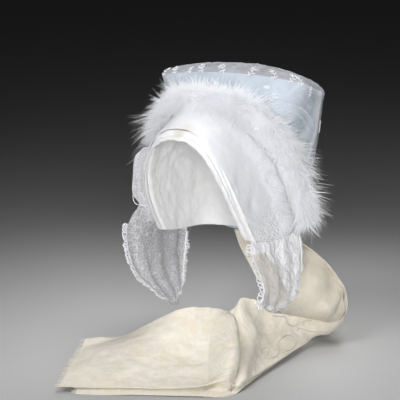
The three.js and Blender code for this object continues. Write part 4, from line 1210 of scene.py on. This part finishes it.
# Lappets
def lappet_cloth(name, lappet, dense, lace):
    t, s = shares(70, 90)
    grid = lappet_point(lappet, t, s)
    relief = (1.6 * bumps(grid, 20, 10) + 0.6 * bumps(grid, 7, 11)) * smooth(0, 0.15, t)
    grid = grid + normals_of(grid) * relief[..., None]
    thing = sheer(name, grid, shade=dense(t, s))
    finish_piece(thing, lace, replaces=[name.replace("_lace", "")])
    return thing, grid


def left_dense(t, s):
    """Opaque lace above and to the rear of a slanting line, with a window of plain net before it"""
    top = smooth(0.3, 0.18, t)
    line = 0.06 + 0.62 * t
    rear = smooth(line, line + 0.1, s)
    hem = smooth(0.88, 0.94, t)
    return np.clip(np.maximum.reduce([1.1 * top, 1.1 * rear, 0.8 * hem, 0.36 + 0 * t]), 0, 1.1)


def right_dense(t, s):
    """Lace all over, densest at its top and along its front edge"""
    top = smooth(0.05, -0.05, t - 0.14)
    rear = smooth(0.8, 0.88, s)
    front = smooth(0.46, 0.3, s)
    hem = smooth(0.84, 0.92, t)
    return np.clip(np.maximum.reduce([1.1 * top, 0.7 * rear, 0.88 * front, 0.8 * hem, 0.5 + 0 * t]), 0, 1.1)


def lappet_edge(grid, first):
    """The path down the front edge, along the hem and up the rear edge, with the way out of the cloth"""
    front, hem, rear = grid[first:, 0], grid[-1, 1:-1], grid[first:, -1][::-1]
    inner = [grid[first:, 3], grid[-4, 1:-1], grid[first:, -4][::-1]]
    path = np.concatenate([front, hem, rear])
    way = unit(path - np.concatenate(inner))
    return path, way + np.array([-LOOP_LEAN, 0, 0])


# Width, length and area of the cuts in metres
LAPPET_CUTS = {"left": (0.135, 0.115, 0.0135), "right": (0.165, 0.2, 0.018)}
LOOP_LEAN = 0.45
# Width, pitch and thread in millimetres
LOOP_SIZES = np.array([8.5, 6.2, 0.95])
LOOP_CURL = 1.4
LOOP_STEPS = 14
# Row of the lappet's grid where its looped edging begins
LOOP_STARTS = {"left": 8, "right": 15}
# Size and seed of each row of loops
LOOP_ROWS = {"left": ((1.0, 71),), "right": ((1.05, 71), (0.75, 72))}


def make_lappets(laces, thread):
    for name, lappet, dense in (("left", LEFT_LAPPET, left_dense), ("right", RIGHT_LAPPET, right_dense)):
        hung, grid = lappet_cloth(f"lappet_{name}_lace", lappet, dense, laces[name])
        path, outward = lappet_edge(grid, LOOP_STARTS[name])
        loops = [
            edge_loops(path, outward, *(LOOP_SIZES * size), LOOP_CURL, LOOP_STEPS, seed)
            for size, seed in LOOP_ROWS[name]
        ]
        trim = build_mesh(f"lappet_trim_{name}_loops", *joined(loops))
        finish_piece(trim, thread, replaces=[f"lappet_trim_{name}"])
        width, length, area = LAPPET_CUTS[name]


FRILL_PLEATS = 2.5
FRILL_TIED = -0.12
TIE_RADIUS = 0.6
# Route of the thread that ties the frill's low end, in millimetres from there
TIE_ROUTE = (
    (9, -4, 1), (4, -7, 0), (-3, -7, 0.5), (-7, -3, 1), (-5, 3, 0), (2, 4, 0.5), (7, 0, 0.2),
    (3, -6, 2), (-5, -8, 1), (-11, -8, 3), (-14, -8, 9), (-15, -7, 16), (-14, -7, 20),
)


def make_frill(lace, thread):
    t, s = shares(120, 40)
    tied = 1 - 0.3 * smooth(0.85, 1.0, t)
    width = FRILL_WIDTH * (0.55 + 0.45 * smooth(0.0, 0.22, t) + 0.3 * smooth(0.5, 0.85, t)) * tied
    pleat = np.sin(s * 2 * np.pi * FRILL_PLEATS + 0.6 * np.sin(4 * t))
    side = RIGHT_LAPPET["side"]
    seam = seam_point(side, FRILL_TOP + (FRILL_TIED - FRILL_TOP) * t)
    out = width * s * 0.9 - LAPPET_WALL / 2
    grid = seam + points(side * out, -0.5 * width * s + 1.6 * pleat * tied, 0.5 * np.sin(9 * t + 5 * s))
    strip = sheer("cheek_frill_lace", grid, shade=1.0 + 0.08 * pleat)
    finish_piece(strip, lace, replaces=["cheek_frill"])
    tie = grid[-1, 20] + np.array(TIE_ROUTE, float)
    fine = np.linspace(0, 1, 80)
    stops = np.linspace(0, 1, len(tie))
    knot = build_mesh("cheek_frill_tie", *tube_parts(along_line(fine, stops, tie), TIE_RADIUS, 6))
    finish_piece(knot, thread)


# Ribbon
# The deep crease: shares across the ribbon and the places along it there, softened by the steps across
VALLEY_SHARES = (0.0, 0.175, 0.55, 0.767, 0.958, 1.0)
VALLEY_PLACES = (0.733, 0.704, 0.654, 0.675, 0.717, 0.725)
VALLEY_STEPS = (-0.1, -0.067, -0.033, 0, 0.033, 0.067, 0.1)
CREASE_DEPTH = 11
CREASE_WIDTH = 0.01
# Place along the ribbon from the crease, width and height of the banks beside it
CREASE_BANKS = ((-0.035, 0.028, 7), (0.04, 0.03, 3))
SECOND_CREASE = {"at": 0.79, "width": 0.005, "depth": 1.6}
FAN_HEIGHT = 4.2
RIB_HEIGHT = 0.4
# Stretches of the top edge that stand higher or lower than the plain band
TOP_EDGES = (
    # from, full, fall and to along the ribbon, rise, power across
    (0.6, 0.632, 0.65, 0.705, 17, 2.5),
    (0.02, 0.08, 0.2, 0.42, 12, 2),
    (0.715, 0.76, 0.94, 1.02, -8, 2),
)
CORNER = {"along": (0.95, 0.975), "across": (0.84, 0.97), "rise": 5}
# Where the upper tail's low edge lifts off the lower one
GAP = {"at": 0.738, "before": 0.012, "after": 0.06, "rise": 12, "reach": 0.13}
# How much further the lower tail shows at the free end and in the loop
TAIL_SHOW = 6
LOOP_SLIP = 5
# How high the lower tail's middle stays over the floor, and how much higher the upper one's
FLOOR_STAND = 0.6
UPPER_STAND = 3.0
FRAY_SEED = 60
FRAY_THREADS = 260


def ribbon_folds(t, s, grid):
    """Relief of the ribbon in millimetres: the deep crease, the fan of folds at the nape and soft waves"""
    valley = t - np.mean([np.interp(s + step, VALLEY_SHARES, VALLEY_PLACES) for step in VALLEY_STEPS], axis=0)
    relief = -CREASE_DEPTH * np.exp(-np.abs(valley) / CREASE_WIDTH)
    for place, width, height in CREASE_BANKS:
        relief = relief + height * bell(valley - place, width)
    relief = relief - SECOND_CREASE["depth"] * bell(t - SECOND_CREASE["at"], SECOND_CREASE["width"])
    fan_zone = smooth(0.02, 0.12, t) * smooth(0.42, 0.3, t) * smooth(1.0, 0.8, s)
    fan = FAN_HEIGHT * np.sin(2 * np.pi * (t * 14 + 1.1 * s)) * fan_zone * (0.35 + 0.65 * s)
    loop_zone = smooth(0.36, 0.5, t) * smooth(0.68, 0.6, t)
    ribs = RIB_HEIGHT * np.sin(2 * np.pi * (t * 34 - 3.2 * s)) * loop_zone * smooth(0.1, 0.6, s)
    soft = 2.0 * bumps(grid, 60, 12) + 0.6 * bumps(grid, 18, 13)
    return relief + fan + ribs + soft


def ribbon_rises(t, s):
    """Heights in millimetres above the plain band"""
    s = np.clip(s, 0, 1)
    rise = CORNER["rise"] * smooth(*CORNER["along"], t) * smooth(*CORNER["across"], s)
    for start, full, fall, end, height, power in TOP_EDGES:
        rise = rise + height * smooth(start, full, t) * smooth(end, fall, t) * s**power
    return rise


def ribbon_grid(layer):
    """Grid of the upper tail (layer 0) or of the lower one (layer 1)"""
    t, s = shares(340, 72)
    t = t * (LOWER_TAIL_END if layer else 1.0)
    slip = RIBBON_SLIP + TAIL_SHOW * smooth(0.6, 0.75, t) + LOOP_SLIP * smooth(0.5, 0.4, t)
    s = s - layer * slip / RIBBON_WIDTH
    base, normal, bulge = ribbon_point(t, s)
    up = np.sign(normal[-1, 0, 2])
    fade = smooth(0, 0.02, s) * 0.75 + 0.25
    lift = bulge + ribbon_folds(t, s, base) * fade - layer * (RIBBON_WALL + RIBBON_LAYER_GAP)
    rise = ribbon_rises(t, s)
    if layer == 0:
        away = t - GAP["at"]
        spread = np.where(away > 0, GAP["after"], GAP["before"])
        rise = rise + GAP["rise"] * bell(away, spread) * np.exp(-np.clip(s, 0, 1) / GAP["reach"])
    grid = base + normal * (up * lift)[..., None] + points(0, 0, rise)
    lowest = FLOOR_STAND - REST_DROP + (1 - layer) * UPPER_STAND
    grid[..., 2] = np.maximum(grid[..., 2], lowest)
    return grid


SCROLLS = (
    # woven vines, each a run of places along and across the ribbon
    ((0.64, 0.06), (0.628, 0.19), (0.612, 0.3), (0.598, 0.22), (0.587, 0.12), (0.572, 0.1), (0.56, 0.23),
     (0.555, 0.4), (0.541, 0.46), (0.525, 0.4), (0.513, 0.28), (0.515, 0.14), (0.535, 0.05), (0.553, 0.08)),
    ((0.602, 0.29), (0.596, 0.38), (0.584, 0.4), (0.578, 0.32), (0.585, 0.22)),
    ((0.593, 0.95), (0.567, 0.95), (0.556, 0.87), (0.533, 0.74), (0.516, 0.75), (0.505, 0.85), (0.485, 0.92),
     (0.462, 0.96)),
    ((0.5, 0.5), (0.484, 0.56), (0.468, 0.46), (0.45, 0.38), (0.432, 0.45), (0.42, 0.58), (0.4, 0.6)),
)
SCROLL_THREAD = 0.5
# Each vine is a pair of outlines this share of the width apart
SCROLL_PAIR = 0.011


def scroll_parts(grid):
    """Fine raised outlines that lie on the ribbon's grid"""
    surface = Surface(grid)
    up = np.sign(surface.normal[-1, 0, 2])
    for route in SCROLLS:
        read = reader(route, ("t", "s"))
        where = np.linspace(0, 1, 9 * len(route))
        for offset in (0, SCROLL_PAIR):
            path = surface.at(read("t", where), read("s", where) + offset, up * SCROLL_THREAD * 0.6)
            yield tube_parts(path, SCROLL_THREAD, 5)


def frayed(grid, seed):
    """Loose threads past the last row of a ribbon's grid"""
    random = np.random.default_rng(seed)
    for _ in range(FRAY_THREADS):
        c = random.integers(0, grid.shape[1] - 1)
        f = random.random()
        root = grid[-1, c] * (1 - f) + grid[-1, c + 1] * f
        way = unit(grid[-1, c] - grid[-4, c])
        side = unit(grid[-1, c + 1] - grid[-1, c])
        reach = random.uniform(2, 9)
        sway = random.normal(0, 0.35)
        steps = np.linspace(0, 1, 4)[:, None]
        path = root - way + (way * reach + side * sway * reach * steps) * steps
        yield tube_parts(path, 0.22, 3)


# Thickness of the ribbons' cloth in millimetres
RIBBON_THICKNESS = 0.7


def make_ribbons(silk, thread, outline):
    for layer, name, beneath in ((0, "upper", "ribbon_lower_silk"), (1, "lower", "crown_net_veil")):
        grid = ribbon_grid(layer)
        tail = cloth(f"ribbon_{name}_silk", grid, RIBBON_THICKNESS)
        finish_piece(tail, silk, replaces=[f"ribbon_{name}"])
        ends = build_mesh(f"ribbon_{name}_fray", *joined(frayed(grid, FRAY_SEED + layer)))
        finish_piece(ends, thread)
        if layer == 0:
            scrolls = build_mesh("ribbon_upper_scrolls", *joined(scroll_parts(grid)))
            finish_piece(scrolls, outline)


# Floor and lights
FLOOR_REACH = 30000
# Area lights: place, target and size in metres, power in watts, spread in degrees
LIGHTS = {
    "key_light": ((-0.25, -1.22, 1.2), (0.0, -0.12, -0.2), 0.8, 2.65, 84),
    "fill_light": ((1.15, -1.6, 0.2), (0.04, 0.0, -0.1), 0.9, 3.35, 40),
    "top_light": ((0.1, 0.3, 1.3), (0.05, 0.0, -0.2), 0.7, 1.3, 70),
    "back_light": ((-0.5, 1.4, 0.9), (0.0, 0.1, -0.05), 0.8, 1.3, 40),
}
WORLD_COLOR = (0.5, 0.5, 0.51, 1)
WORLD_STRENGTH = 0.025


def add_floor():
    size = FLOOR_REACH
    corners = [[x, y, -REST_DROP] for x, y in ((-size, -size), (size, -size), (size, size), (-size, size))]
    floor = build_mesh("floor", corners, [[0, 1, 2, 3]])
    floor.data.materials.append(Tree("floor", (0.54, 0.54, 0.54), 0.9, specular=0.05).material)


def add_lights():
    for name, (place, target, size, power, spread) in LIGHTS.items():
        light = bpy.data.lights.new(name, "AREA")
        light.size = size
        light.energy = power
        light.spread = math.radians(spread)
        add_object(name, light, place, target)
    world = bpy.data.worlds.new("studio")
    world.use_nodes = True
    background = world.node_tree.nodes["Background"]
    background.inputs["Color"].default_value = WORLD_COLOR
    background.inputs["Strength"].default_value = WORLD_STRENGTH
    bpy.context.scene.world = world
    bpy.context.scene.view_settings.view_transform = "Standard"


add_camera()
white_thread = thread_material()
# Lit and shaded copies of one lace: painted light makes the near lappet's ground near white, painted shade
# makes the far one's grey
lace_cloths = {
    "left": lace_material("lace_left", 2.8, 5.2, (0.97, 0.97, 1.0), 0.55, 0.1),
    "right": lace_material("lace_right", 2.8, 5.2, (0.7, 0.7, 0.74)),
}
make_under_cap(linen_material(), white_thread)
make_front_panel(batiste_material())
make_crown_form(silk_material())
make_crown_net(net_material(), white_thread)
make_fur(down_material(), fur_material())
make_lappets(lace_cloths, white_thread)
make_frill(lace_material("frill", 2.2, 4, (0.8, 0.8, 0.84)), white_thread)
make_ribbons(
    ribbon_material(),
    thread_material("ribbon_thread", (0.86, 0.82, 0.74)),
    thread_material("scroll_thread", (0.66, 0.6, 0.48)),
)
add_floor()
add_lights()
